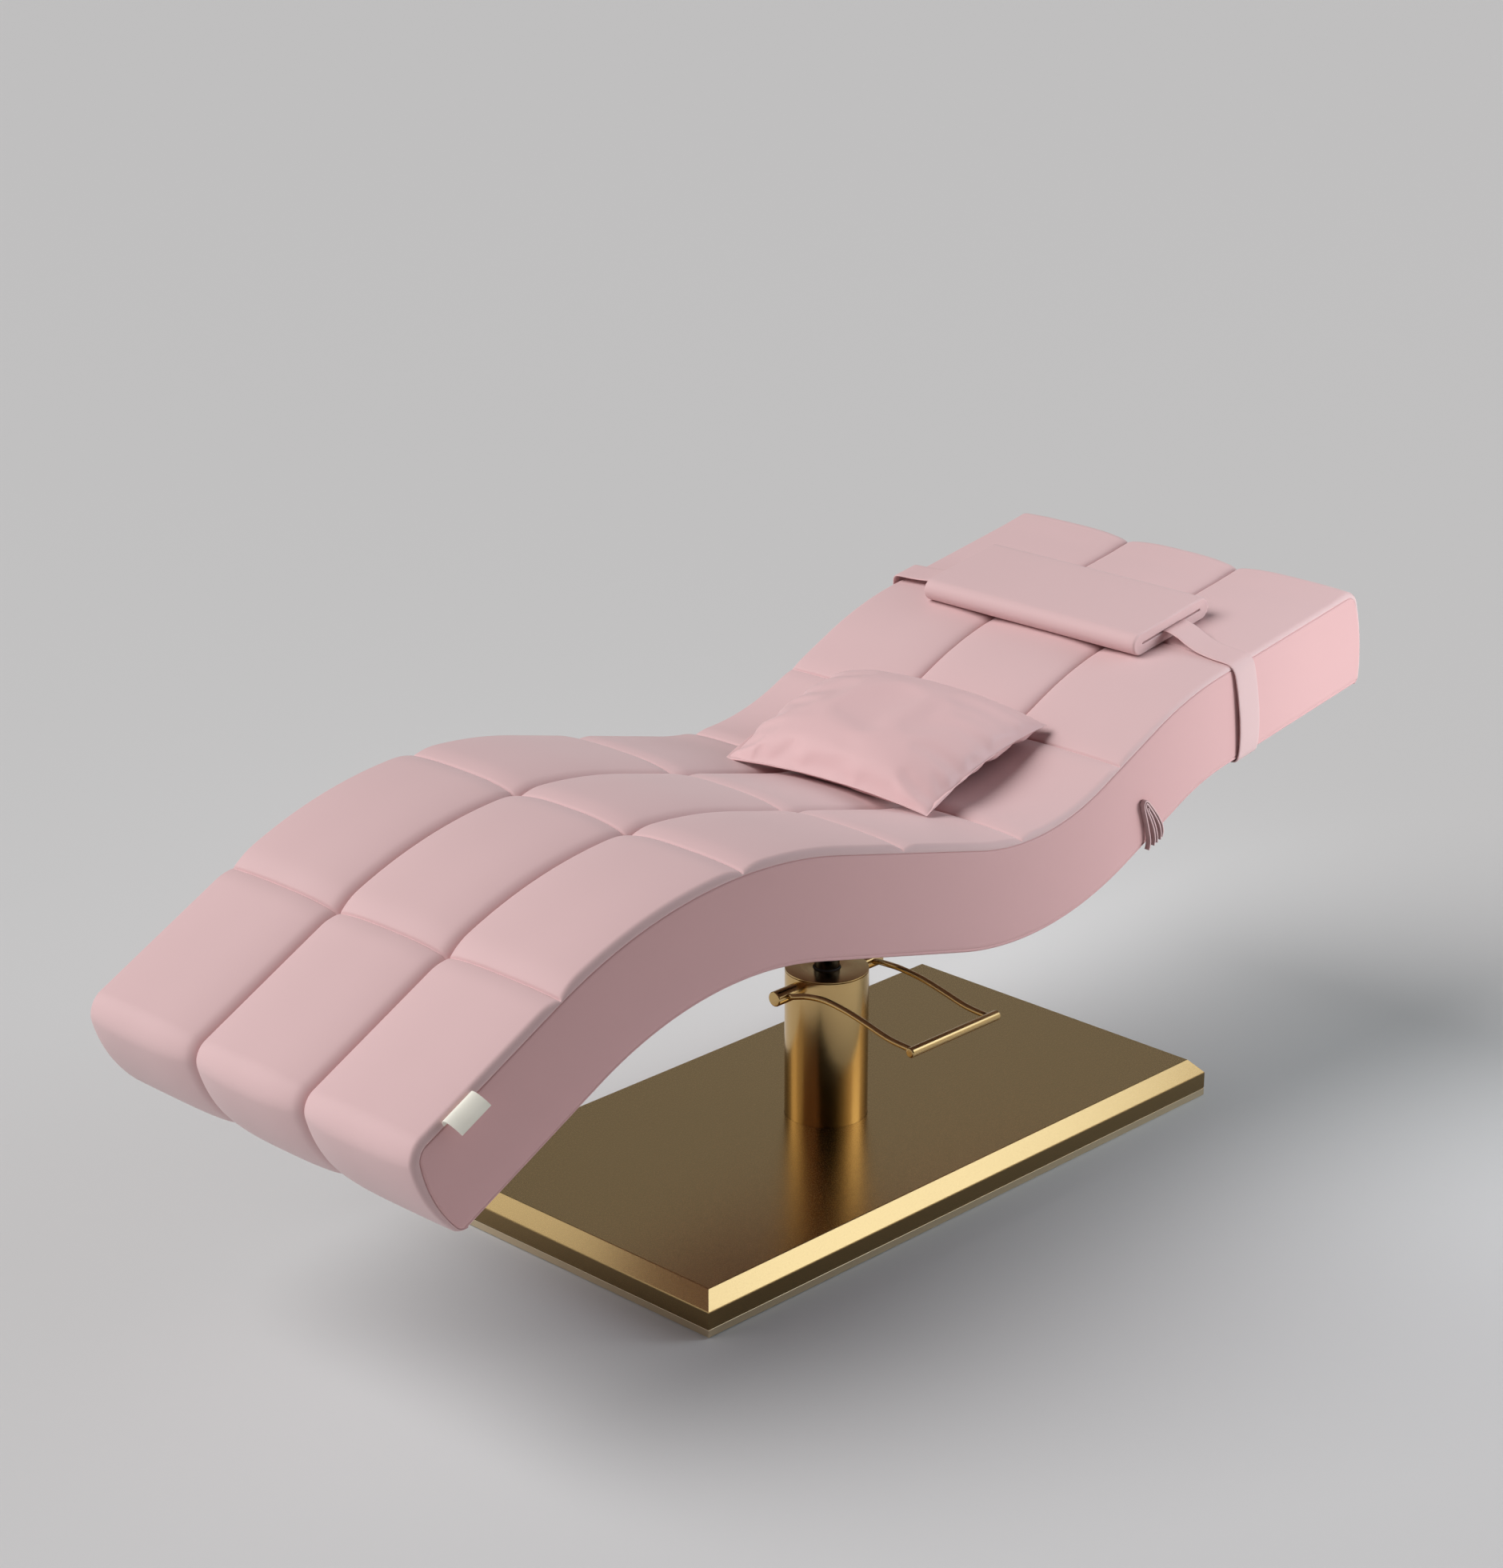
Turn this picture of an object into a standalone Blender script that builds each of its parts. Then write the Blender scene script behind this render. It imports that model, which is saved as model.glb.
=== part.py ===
"""A wave-shaped beauty bed on a hydraulic column with a flat gold base.

X runs along the bed from the foot end (-X) to the head end (+X), the foot pedal
points to -Y, and Z is up. The origin is on the floor, on the column's axis.
All lengths are in metres.
"""

import math

import bmesh
import bpy
from mathutils import Matrix, Vector
from mathutils.bvhtree import BVHTree

# Clearances
GAP = 0.0003            # left between pieces that touch
RUN_GAP = 0.0003        # radial running gap of a shaft, a plunger or the ram
BOLT_GAP = 0.0004       # radial gap of a bolt in its hole
OVERRUN = 0.004         # how far a cutter passes the face that it opens

# Base
BASE_LENGTH = 1.038
BASE_WIDTH = 0.560
BASE_HEIGHT = 0.059
CHAMFER_INSET = 0.019
CHAMFER_HEIGHT = 0.021
BASE_PLATE_THICKNESS = 0.011
MAT_THICKNESS = 0.0015
MAT_INSET = 0.010
COVER_WALL = 0.003

# Column and pump
COLUMN_RADIUS = 0.0595
COLUMN_WALL = 0.003
COLUMN_HEIGHT = 0.2225  # over the base's top face, with its cap
CAP_THICKNESS = 0.0030
CAP_BEVEL = 0.0012
CAP_SPIGOT_DEPTH = 0.0025
CAP_SPIGOT_WALL = 0.002
WIPER_RADIUS = 0.0192
WIPER_FLANGE_RADIUS = 0.0225
WIPER_FLANGE_HEIGHT = 0.0015
WIPER_LIP_HEIGHT = 0.0020
FLANGE_RADIUS = 0.085
FLANGE_THICKNESS = 0.010
FLANGE_BOLT_CIRCLE = 0.070
FLANGE_BOLT_RADIUS = 0.005
FLANGE_BOLT_HEAD_RADIUS = 0.0085
FLANGE_BOLT_HEAD_HEIGHT = 0.0065
RESERVOIR_RADIUS = 0.053
RESERVOIR_WALL = 0.003
CYLINDER_RADIUS = 0.0265
CYLINDER_BORE_RADIUS = 0.0232
PUMP_HEAD_DROP = 0.0625  # from the column's top to the top of the pump head
PUMP_HEAD_THICKNESS = 0.020
GLAND_WALL = 0.003

# Ram
RAM_RADIUS = 0.018
RAM_DOWN_STROKE = 0.060  # from the photographed height
PISTON_HEIGHT = 0.020
PISTON_GAP = 0.0006
PISTON_SPIGOT_RADIUS = 0.009
PISTON_FLOOR = 0.003     # left under the piston at the lowest height
SEAL_GROOVE_HEIGHT = 0.005
SEAL_GROOVE_DEPTH = 0.003
SWIVEL_PIN_RADIUS = 0.011
COLLAR_RADIUS = 0.026
COLLAR_HEIGHT = 0.008
THRUST_WASHER_THICKNESS = 0.003

# Foot pedal
PEDAL_SHAFT_RADIUS = 0.011
PEDAL_SHAFT_DROP = 0.0175  # from the column's top to the shaft's axis
PEDAL_SHAFT_REACH = 0.1075  # from the column's axis to the shaft's end
PEDAL_SHAFT_BEVEL = 0.0015
PEDAL_ARM_RADIUS = 0.0043
PEDAL_ARM_OFFSET = 0.079
PEDAL_ARM_FLARE = 0.009  # how far an arm's root stands out of its line
PEDAL_REACH = 0.238
PEDAL_DROP = 0.0125
PEDAL_RISE = 0.0103
PEDAL_DIP = 0.0134
ARM_GUIDE_SHARES = ((0.0, 0.17, 0.0, 1.0), (0.035, 0.35, 0.0, 1.0), (0.13, 0.78, 0.0, 0.35),
                    (0.27, 1.0, 0.0, 0.0), (0.45, 0.65, 0.0, 0.0), (0.63, 0.0, 0.09, 0.0),
                    (0.82, 0.0, 0.78, 0.0), (1.0, 0.0, 1.0, 0.0))
FOOT_BAR_RADIUS = 0.0072
FOOT_BAR_LENGTH = 0.182
FOOT_BAR_BEVEL = 0.0018
PEDAL_STROKE = math.radians(22.0)
YOKE_RADIUS = 0.036
YOKE_WIDTH = 0.010
YOKE_HEIGHT = 0.014
NOSE_RADIUS = 0.005
NOSE_DROP = 0.009
NOSE_WIDTH = 0.012
BLOCK_THICKNESS = 0.0095
BLOCK_CLEARANCE = 0.0010
BLOCK_WIDTH = 0.030
BLOCK_CROWN = 0.0140     # from the shaft's axis to the block's top
PLUNGER_RADIUS = 0.006
PLUNGER_HEAD_RADIUS = 0.010
PLUNGER_HEAD_HEIGHT = 0.003
PLUNGER_LENGTH = 0.070
BARREL_WALL = 0.0025
BARREL_LENGTH = 0.055
BARREL_FLOOR = 0.004
SPRING_WIRE_RADIUS = 0.0008
SPRING_TURNS = 5
RELEASE_ANGLE = math.radians(45.0)
RELEASE_PIN_RADIUS = 0.0025
RELEASE_TIP_RADIUS = 0.0035
RELEASE_TIP_HEIGHT = 0.002
RELEASE_CLEARANCE = 0.0006
VALVE_BODY_RADIUS = 0.007
VALVE_BODY_HEIGHT = 0.012

# Bed outline: the side seam from the foot end to the head end
FOOT_STRAIGHT = 0.256
CREST_RADIUS = 0.690
MIDDLE_STRAIGHT = 0.288
VALLEY_RADIUS = 0.368
BACK_STRAIGHT = 0.125
SHOULDER_RADIUS = 0.521
HEAD_STRAIGHT = 0.3215
FOOT_SLOPE = math.radians(27.3)
MIDDLE_SLOPE = math.radians(-14.2)
BACK_SLOPE = math.radians(25.5)
HEAD_SLOPE = math.radians(9.2)
FOOT_OVERHANG = 1.0244   # from the column's axis to the foot end of the seam
SEAM_HEIGHT = 0.5446     # of the seam over the floor, above the column
BED_WIDTH = 0.621
BED_DEPTH = 0.144        # from the seam line to the underside
END_CORNER_RADIUS = 0.018

# Upholstery
QUILT_DEPTH = 0.030
END_THICKNESS = 0.025
COVER_LIP = 0.003
SIDE_COVER_THICKNESS = 0.006
SIDE_BULGE = 0.002
SIDE_STEP_SHARES = (0.25, 0.50, 0.75)
BOTTOM_PANEL_THICKNESS = 0.004
BOTTOM_OPENING_RADIUS = 0.036
FOAM_THICKNESS = 0.0475
ROW_CROWNS = (0.013, 0.013, 0.012, 0.011, 0.009, 0.0035, 0.003)
ROW_SEAM_DIP_SHARE = 0.6
CHANNEL_DEPTH = 0.003
PINCH_DEPTH_SHARE = 0.65
FOOT_END_CROWN = 0.001
HEAD_END_CROWN = 0.002
FOOT_END_BULGE = 0.013
HEAD_END_BULGE = 0.009
FOOT_TUCK_RADIUS = 0.012
HEAD_TUCK_RADIUS = 0.004
ROW_SHARES = (0.1373, 0.1689, 0.1593, 0.1282, 0.1130, 0.1333, 0.1600)
ROW_STEP_SHARES = (0.0, 0.12, 0.37, 0.63, 0.88)
COLUMN_STEP_SHARES = (0.0, 0.12, 0.37, 0.63, 0.88)
PINCH_SHARE = 0.12
CROWN_POWER = 3.0
QUILT_COLUMNS = 3
END_STEPS = 6
CORNER_STEPS = 4
BAND_WIDTH = 0.009
BAND_THICKNESS = 0.0015

# Frame inside the bed
DECK_THICKNESS = 0.012
APRON_THICKNESS = 0.009
END_BOARD_THICKNESS = 0.012
RAIL_HEIGHT = 0.040
RAIL_WIDTH = 0.025
RAIL_WALL = 0.002
RAIL_SETBACK = 0.0455    # from the bed's side to a rail's outer face
RAIL_END_MARGIN = 0.030
CROSS_TUBE_SIZE = 0.030
CROSS_TUBE_SHARES = (("foot", 0.14), ("back", 0.73), ("head", 0.93))
BEAM_WIDTH = 0.025
BEAM_HEIGHT = 0.020
BEAM_WALL = 0.0025
BEAM_OFFSET = 0.055
MOUNT_PLATE_LENGTH = 0.140
MOUNT_PLATE_WIDTH = 0.240
MOUNT_PLATE_THICKNESS = 0.006
HUB_FLANGE_RADIUS = 0.050
HUB_FLANGE_THICKNESS = 0.006
HUB_RADIUS = 0.030
HUB_LENGTH = 0.024       # below its flange
HUB_BUSH_WALL = 0.003
RETAINER_RADIUS = 0.015
RETAINER_THICKNESS = 0.003
RETAINER_BOLT_RADIUS = 0.004
RETAINER_BOLT_LENGTH = 0.018
RETAINER_HEAD_RADIUS = 0.0075
RETAINER_HEAD_HEIGHT = 0.005

# Head pad and its strap
PAD_LENGTH = 0.398
PAD_WIDTH = 0.174
PAD_THICKNESS = 0.033
PAD_SIDE_SHIFT = 0.019
PAD_STATION = 1.6315     # along the seam, to the pad's middle
PAD_LIFT = 0.0037        # from the seam line to the pad's underside
PAD_SLOT_LENGTH = 0.150
PAD_SLOT_HEIGHT = 0.0036
STRAP_WIDTH = 0.045
STRAP_SHIFT = -0.008     # from the pad's middle, along the bed
STRAP_THICKNESS = 0.0024
STRAP_CLEARANCE = 0.0012
STRAP_EDGE_RISE = 0.006
STRAP_BEND_RADIUS = 0.009
STRAP_TUCK_RADIUS = 0.004
FASTENER_LENGTH = 0.080
FASTENER_THICKNESS = 0.002
FASTENER_MARGIN = 0.002

# Folded keeper, tag and pillow
KEEPER_STATION = 1.361
KEEPER_FOLDS = 3
KEEPER_THICKNESS = 0.0018
KEEPER_PITCH = 0.0042
KEEPER_TIP_RATIO = 3.0
KEEPER_HEIGHT = 0.0645
KEEPER_HALF_WIDTH = 0.0135
KEEPER_STANDOUT = 0.006
KEEPER_OVERHANG = 0.005
KEEPER_SHARES = ((-1.25, 1.0), (-0.98, 0.70), (-0.85, 0.38), (-0.75, 0.02), (-0.35, 0.0), (0.0, 0.05),
                 (0.65, 0.52), (0.85, 0.78), (0.65, 1.0))
TAG_STATION = 0.0735
TAG_WIDTH = 0.050
TAG_HEIGHT = 0.024
TAG_DROP = 0.0005
TAG_THICKNESS = 0.0008
TAG_STANDOUT = 0.010
PILLOW_LENGTH = 0.360
PILLOW_WIDTH = 0.280
PILLOW_TOP_HEIGHT = 0.046
PILLOW_BELLY = 0.034
PILLOW_EDGE = 0.0012
PILLOW_FULLNESS = 0.45   # less is fuller towards the edges
PILLOW_DRAW_IN = 0.016
PILLOW_X = 0.112
PILLOW_Y = -0.004
PILLOW_YAW = math.radians(4.0)
PILLOW_PITCH = math.radians(-12.0)
PILLOW_STEPS = 14
PILLOW_START_HEIGHT = 0.30

# Rounds are made with these many sides
COLUMN_SIDES = 48
ROUND_SIDES = 32
SMALL_SIDES = 16
TINY_SIDES = 12

MATERIALS = {
    "pink_leather": ((0.72, 0.49, 0.50), 0.48, 0.0),
    "pink_fabric": ((0.60, 0.40, 0.41), 0.75, 0.0),
    "cream_fabric": ((0.80, 0.77, 0.66), 0.80, 0.0),
    "foam": ((0.85, 0.82, 0.70), 0.95, 0.0),
    "plywood": ((0.62, 0.45, 0.28), 0.70, 0.0),
    "gold_satin": ((0.62, 0.43, 0.17), 0.30, 1.0),
    "black_chrome": ((0.02, 0.02, 0.022), 0.12, 1.0),
    "black_steel": ((0.04, 0.04, 0.045), 0.45, 0.6),
    "steel": ((0.55, 0.56, 0.58), 0.35, 1.0),
    "bronze": ((0.60, 0.40, 0.20), 0.40, 1.0),
    "rubber": ((0.03, 0.03, 0.03), 0.85, 0.0),
}


def clear_scene():
    for item in list(bpy.data.objects):
        bpy.data.objects.remove(item, do_unlink=True)


def material(name):
    found = bpy.data.materials.get(name)
    if found:
        return found
    color, roughness, metallic = MATERIALS[name]
    made = bpy.data.materials.new(name)
    made.use_nodes = True
    shader = made.node_tree.nodes["Principled BSDF"]
    shader.inputs["Base Color"].default_value = (*color, 1.0)
    shader.inputs["Roughness"].default_value = roughness
    shader.inputs["Metallic"].default_value = metallic
    made.diffuse_color = (*color, 1.0)
    return made


# Shapes, each as a pair of vertices and faces

def turned_shape(profile, sides, closed=False, phase=0.0):
    """Turn (radius, height) points about Z. A point at radius zero is a pole."""
    verts = []
    rows = []
    for radius, height in profile:
        if radius == 0.0:
            rows.append([len(verts)])
            verts.append(Vector((0.0, 0.0, height)))
            continue
        first = len(verts)
        for step in range(sides):
            angle = phase + 2.0 * math.pi * step / sides
            verts.append(Vector((radius * math.cos(angle), radius * math.sin(angle), height)))
        rows.append(list(range(first, first + sides)))
    pairs = list(zip(rows, rows[1:]))
    if closed:
        pairs.append((rows[-1], rows[0]))
    faces = []
    for low, high in pairs:
        for step in range(sides):
            follow = (step + 1) % sides
            if len(low) == 1:
                faces.append((low[0], high[step], high[follow]))
            elif len(high) == 1:
                faces.append((low[step], low[follow], high[0]))
            else:
                faces.append((low[step], low[follow], high[follow], high[step]))
    return verts, faces


def rod_profile(radius, low, high):
    return [(0.0, low), (radius, low), (radius, high), (0.0, high)]


def ring_profile(inner, outer, low, high):
    return [(inner, low), (outer, low), (outer, high), (inner, high)]


def bevelled_rod_profile(radius, low, high, bevel):
    return [(0.0, low), (radius - bevel, low), (radius, low + bevel),
            (radius, high - bevel), (radius - bevel, high), (0.0, high)]


def loft_shape(rings, closed=False):
    """Join rings of equal length. Open lofts get flat caps."""
    verts = [point for ring in rings for point in ring]
    count = len(rings[0])
    faces = []
    spans = len(rings) if closed else len(rings) - 1
    for index in range(spans):
        here = index * count
        there = ((index + 1) % len(rings)) * count
        for step in range(count):
            follow = (step + 1) % count
            faces.append((here + step, here + follow, there + follow, there + step))
    if not closed:
        last = (len(rings) - 1) * count
        faces.append(tuple(range(count - 1, -1, -1)))
        faces.append(tuple(range(last, last + count)))
    return verts, faces


def box_shape(low, high):
    rings = []
    for z in (low[2], high[2]):
        rings.append([Vector((low[0], low[1], z)), Vector((high[0], low[1], z)),
                      Vector((high[0], high[1], z)), Vector((low[0], high[1], z))])
    return loft_shape(rings)


def moved(shape, matrix):
    verts, faces = shape
    return [matrix @ point for point in verts], faces


def shifted(shape, x, y, z):
    return moved(shape, Matrix.Translation((x, y, z)))


def along_x(shape):
    """Turn a shape whose axis is Z so that its axis is X."""
    return moved(shape, Matrix.Rotation(math.pi / 2.0, 4, "Y"))


def joined(shapes):
    verts = []
    faces = []
    for part_verts, part_faces in shapes:
        start = len(verts)
        verts.extend(part_verts)
        faces.extend(tuple(index + start for index in face) for face in part_faces)
    return verts, faces


# Objects

def add_object(name, shape, material_name, origin=(0.0, 0.0, 0.0), smooth=True):
    """Make one object from a shape in world places, with its origin where asked."""
    verts, faces = shape
    start = Vector(origin)
    mesh = bpy.data.meshes.new(name)
    mesh.from_pydata([tuple(point - start) for point in verts], [], faces)
    work = bmesh.new()
    work.from_mesh(mesh)
    bmesh.ops.recalc_face_normals(work, faces=work.faces)
    work.to_mesh(mesh)
    work.free()
    if smooth:
        mesh.shade_smooth()
        mesh.set_sharp_from_angle(angle=math.radians(35.0))
    mesh.materials.append(material(material_name))
    made = bpy.data.objects.new(name, mesh)
    made.location = start
    bpy.context.scene.collection.objects.link(made)
    return made


def cut(target, shape, label):
    """Cut a shape out of an object with a live Boolean modifier."""
    cutter = add_object(target.name + "_" + label, shape, "steel", smooth=False)
    cutter.hide_render = True
    cutter.display_type = "WIRE"
    boolean = target.modifiers.new(label, "BOOLEAN")
    boolean.operation = "DIFFERENCE"
    boolean.solver = "EXACT"
    boolean.object = cutter
    return cutter


def add_axis(name, place):
    """An empty that marks the place of a joint."""
    empty = bpy.data.objects.new(name, None)
    empty.location = place
    bpy.context.scene.collection.objects.link(empty)
    return empty


def hang_on(axis, pieces):
    """Parent pieces to a joint's empty and leave them where they are."""
    for piece in pieces:
        piece.parent = axis
        piece.matrix_parent_inverse = Matrix.Translation(axis.location).inverted()


# The seam line that the whole bed follows

def seam_stretches():
    """Lengths, start slopes and curvatures of the straights and arcs, foot to head."""
    slopes = (FOOT_SLOPE, MIDDLE_SLOPE, BACK_SLOPE, HEAD_SLOPE)
    straights = (FOOT_STRAIGHT, MIDDLE_STRAIGHT, BACK_STRAIGHT, HEAD_STRAIGHT)
    radii = (CREST_RADIUS, VALLEY_RADIUS, SHOULDER_RADIUS)
    stretches = []
    for index, length in enumerate(straights):
        stretches.append((length, slopes[index], 0.0))
        if index < len(radii):
            turn = slopes[index + 1] - slopes[index]
            curvature = math.copysign(1.0 / radii[index], turn)
            stretches.append((abs(turn) * radii[index], slopes[index], curvature))
    return stretches


STRETCHES = seam_stretches()
SEAM_LENGTH = sum(stretch[0] for stretch in STRETCHES)


def raw_seam(station):
    """Point and slope at a distance along the seam, with the foot end at zero."""
    x = 0.0
    z = 0.0
    left = station
    for index, (length, slope, curvature) in enumerate(STRETCHES):
        last = index == len(STRETCHES) - 1
        step = left if last else min(left, length)
        if curvature:
            x += (math.sin(slope + curvature * step) - math.sin(slope)) / curvature
            z += (math.cos(slope) - math.cos(slope + curvature * step)) / curvature
        else:
            x += step * math.cos(slope)
            z += step * math.sin(slope)
        left -= step
        if last or left <= 0.0:
            return x, z, slope + curvature * step
    return x, z, slope


def solve_station(goal, depth=0.0):
    """Distance along the seam where the line at this depth passes x = goal, raw."""
    low = 0.0
    high = SEAM_LENGTH
    for _ in range(60):
        middle = (low + high) / 2.0
        x, _, slope = raw_seam(middle)
        if x + depth * math.sin(slope) < goal:
            low = middle
        else:
            high = middle
    return (low + high) / 2.0


COLUMN_STATION = solve_station(FOOT_OVERHANG)
SEAM_X_SHIFT = -FOOT_OVERHANG
SEAM_Z_SHIFT = SEAM_HEIGHT - raw_seam(COLUMN_STATION)[1]


def seam_frame(station):
    """Point, tangent and upward normal on the seam line, as vectors in the XZ plane."""
    x, z, slope = raw_seam(station)
    place = Vector((x + SEAM_X_SHIFT, 0.0, z + SEAM_Z_SHIFT))
    tangent = Vector((math.cos(slope), 0.0, math.sin(slope)))
    normal = Vector((-math.sin(slope), 0.0, math.cos(slope)))
    return place, tangent, normal


def bed_point(station, depth, y):
    place, _, normal = seam_frame(station)
    point = place - normal * depth
    return Vector((point.x, y, point.z))


def row_bounds():
    """Stations of the quilt's cross seams, with both ends."""
    bounds = [0.0]
    for share in ROW_SHARES:
        bounds.append(bounds[-1] + share * SEAM_LENGTH)
    return bounds


ROW_BOUNDS = row_bounds()


def top_stations():
    """Stations shared by every piece that follows the bed, as (station, row, share)."""
    stations = []
    for row, (start, end) in enumerate(zip(ROW_BOUNDS, ROW_BOUNDS[1:])):
        if row == 0:
            start = END_CORNER_RADIUS
        if row == len(ROW_SHARES) - 1:
            end = SEAM_LENGTH - END_CORNER_RADIUS
        for share in ROW_STEP_SHARES:
            stations.append((start + share * (end - start), row, share))
    stations.append((SEAM_LENGTH - END_CORNER_RADIUS, len(ROW_SHARES) - 1, 1.0))
    return stations


TOP_STATIONS = top_stations()


def stations_between(start, end):
    """Both ends and every shared station between them."""
    inner = [station for station, _, _ in TOP_STATIONS if start < station < end]
    return [start] + inner + [end]


def deck_height(x, depth):
    """Height over the floor of the faceted line at this depth."""
    points = [bed_point(station, depth, 0.0) for station in stations_between(0.0, SEAM_LENGTH)]
    for here, there in zip(points, points[1:]):
        if here.x <= x <= there.x:
            share = (x - here.x) / (there.x - here.x)
            return here.z + share * (there.z - here.z)
    return points[-1].z


def chord_frame(station, depth):
    """Middle point, direction and upward normal of the facet that holds a station."""
    marks = stations_between(0.0, SEAM_LENGTH)
    for here, there in zip(marks, marks[1:]):
        first = bed_point(here, depth, 0.0)
        second = bed_point(there, depth, 0.0)
        if station <= there:
            break
    tangent = (second - first).normalized()
    normal = Vector((-tangent.z, 0.0, tangent.x))
    return (first + second) / 2.0, tangent, normal


def swept_shape(stations, section):
    """Sweep a section of (y, depth) points along the bed."""
    return loft_shape([[bed_point(station, depth, y) for y, depth in section]
                       for station in stations])


def core_slab(top, low):
    """A slab across the inside of the bed, between two depths."""
    return swept_box(CORE_START, CORE_END, -CORE_HALF_WIDTH, CORE_HALF_WIDTH, top, low)


def swept_box(start, end, y_low, y_high, depth_top, depth_bottom):
    section = [(y_low, depth_top), (y_high, depth_top), (y_high, depth_bottom), (y_low, depth_bottom)]
    return swept_shape(stations_between(start, end), section)


# Widths and depths that the bed's layers share
HALF_WIDTH = BED_WIDTH / 2.0
CORE_HALF_WIDTH = HALF_WIDTH - SIDE_COVER_THICKNESS - GAP
RAIL_INNER = HALF_WIDTH - RAIL_SETBACK - RAIL_WIDTH
SKIRT_DEPTH = BED_DEPTH - BOTTOM_PANEL_THICKNESS - GAP
FOAM_TOP_DEPTH = QUILT_DEPTH + GAP
FOAM_BOTTOM_DEPTH = FOAM_TOP_DEPTH + FOAM_THICKNESS
DECK_TOP_DEPTH = FOAM_BOTTOM_DEPTH + GAP
DECK_BOTTOM_DEPTH = DECK_TOP_DEPTH + DECK_THICKNESS
FRAME_TOP_DEPTH = DECK_BOTTOM_DEPTH + GAP
CORE_START = END_THICKNESS + GAP
CORE_END = SEAM_LENGTH - END_THICKNESS - GAP

# Heights of the base and the column
MAT_TOP = MAT_THICKNESS
PLATE_LOW = MAT_TOP + GAP
PLATE_TOP = PLATE_LOW + BASE_PLATE_THICKNESS
COVER_LOW = PLATE_TOP + GAP
FLANGE_LOW = PLATE_TOP + GAP
FLANGE_TOP = FLANGE_LOW + FLANGE_THICKNESS
COLUMN_TOP = BASE_HEIGHT + COLUMN_HEIGHT
CAP_LOW = COLUMN_TOP - CAP_THICKNESS
PUMP_HEAD_TOP = COLUMN_TOP - PUMP_HEAD_DROP
PUMP_HEAD_LOW = PUMP_HEAD_TOP - PUMP_HEAD_THICKNESS
SHAFT_HEIGHT = COLUMN_TOP - PEDAL_SHAFT_DROP
CYLINDER_LOW = FLANGE_TOP + GAP

# Heights of the mount under the bed
BEAM_TOP = min(deck_height(sign * BEAM_OFFSET + side * BEAM_WIDTH / 2.0, DECK_BOTTOM_DEPTH)
               for sign in (-1, 1) for side in (-1, 1)) - GAP
BEAM_LOW = BEAM_TOP - BEAM_HEIGHT
MOUNT_TOP = BEAM_LOW - GAP
MOUNT_LOW = MOUNT_TOP - MOUNT_PLATE_THICKNESS
HUB_TOP = MOUNT_LOW - GAP
HUB_FLANGE_LOW = HUB_TOP - HUB_FLANGE_THICKNESS
HUB_LOW = HUB_FLANGE_LOW - HUB_LENGTH
WASHER_LOW = HUB_LOW - GAP - THRUST_WASHER_THICKNESS
RAM_SHOULDER = WASHER_LOW - GAP


def row_crown(station):
    """Crown height between the quilt's cross seams, blended from row to row."""
    middles = [(start + end) / 2.0 for start, end in zip(ROW_BOUNDS, ROW_BOUNDS[1:])]
    if station <= middles[0]:
        return ROW_CROWNS[0]
    for index in range(len(middles) - 1):
        if station <= middles[index + 1]:
            share = (station - middles[index]) / (middles[index + 1] - middles[index])
            return ROW_CROWNS[index] + share * (ROW_CROWNS[index + 1] - ROW_CROWNS[index])
    return ROW_CROWNS[-1]


def quilt_crown(column, share, crown, near_seam):
    """Height of the quilted cover over its seam line. near_seam is 0 on a cross seam."""
    pinch = max(0.0, 1.0 - near_seam / PINCH_SHARE) ** 2
    crest = crown * (1.0 - ROW_SEAM_DIP_SHARE * pinch)
    outer_side = (column == 0 and share < 0.5) or (column == QUILT_COLUMNS - 1 and share >= 0.5)
    edge = 0.0 if outer_side else -CHANNEL_DEPTH - crown * PINCH_DEPTH_SHARE * pinch
    rise = 1.0 - abs(2.0 * share - 1.0) ** CROWN_POWER
    return edge + (crest - edge) * rise


def end_push(depth, bulge, tuck):
    """How far an end face stands out of its plane at a depth, with its tucked bottom edge."""
    push = bulge * (1.0 - (2.0 * depth / BED_DEPTH - 1.0) ** 2)
    into = depth - (BED_DEPTH - tuck)
    if into > 0.0:
        push -= tuck - math.sqrt(max(0.0, tuck * tuck - into * into))
    return push


def end_outline(bulge, tuck):
    """An end face from its bottom to the top of its corner, as (station, depth, turn, drop share).

    A station is counted from the end's plane into the bed, and turn is a quarter turn
    where the surface faces along the bed.
    """
    outline = []
    for step in range(END_STEPS):
        depth = SKIRT_DEPTH + (END_CORNER_RADIUS - SKIRT_DEPTH) * step / END_STEPS
        outline.append((-end_push(depth, bulge, tuck), depth, math.pi / 2.0, 1.0 - step / END_STEPS))
    for step in range(CORNER_STEPS):
        turn = math.pi / 2.0 * (1.0 - step / CORNER_STEPS)
        depth = END_CORNER_RADIUS * (1.0 - math.cos(turn))
        station = END_CORNER_RADIUS * (1.0 - math.sin(turn)) - end_push(depth, bulge, tuck)
        outline.append((station, depth, turn, 0.0))
    return outline


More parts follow.
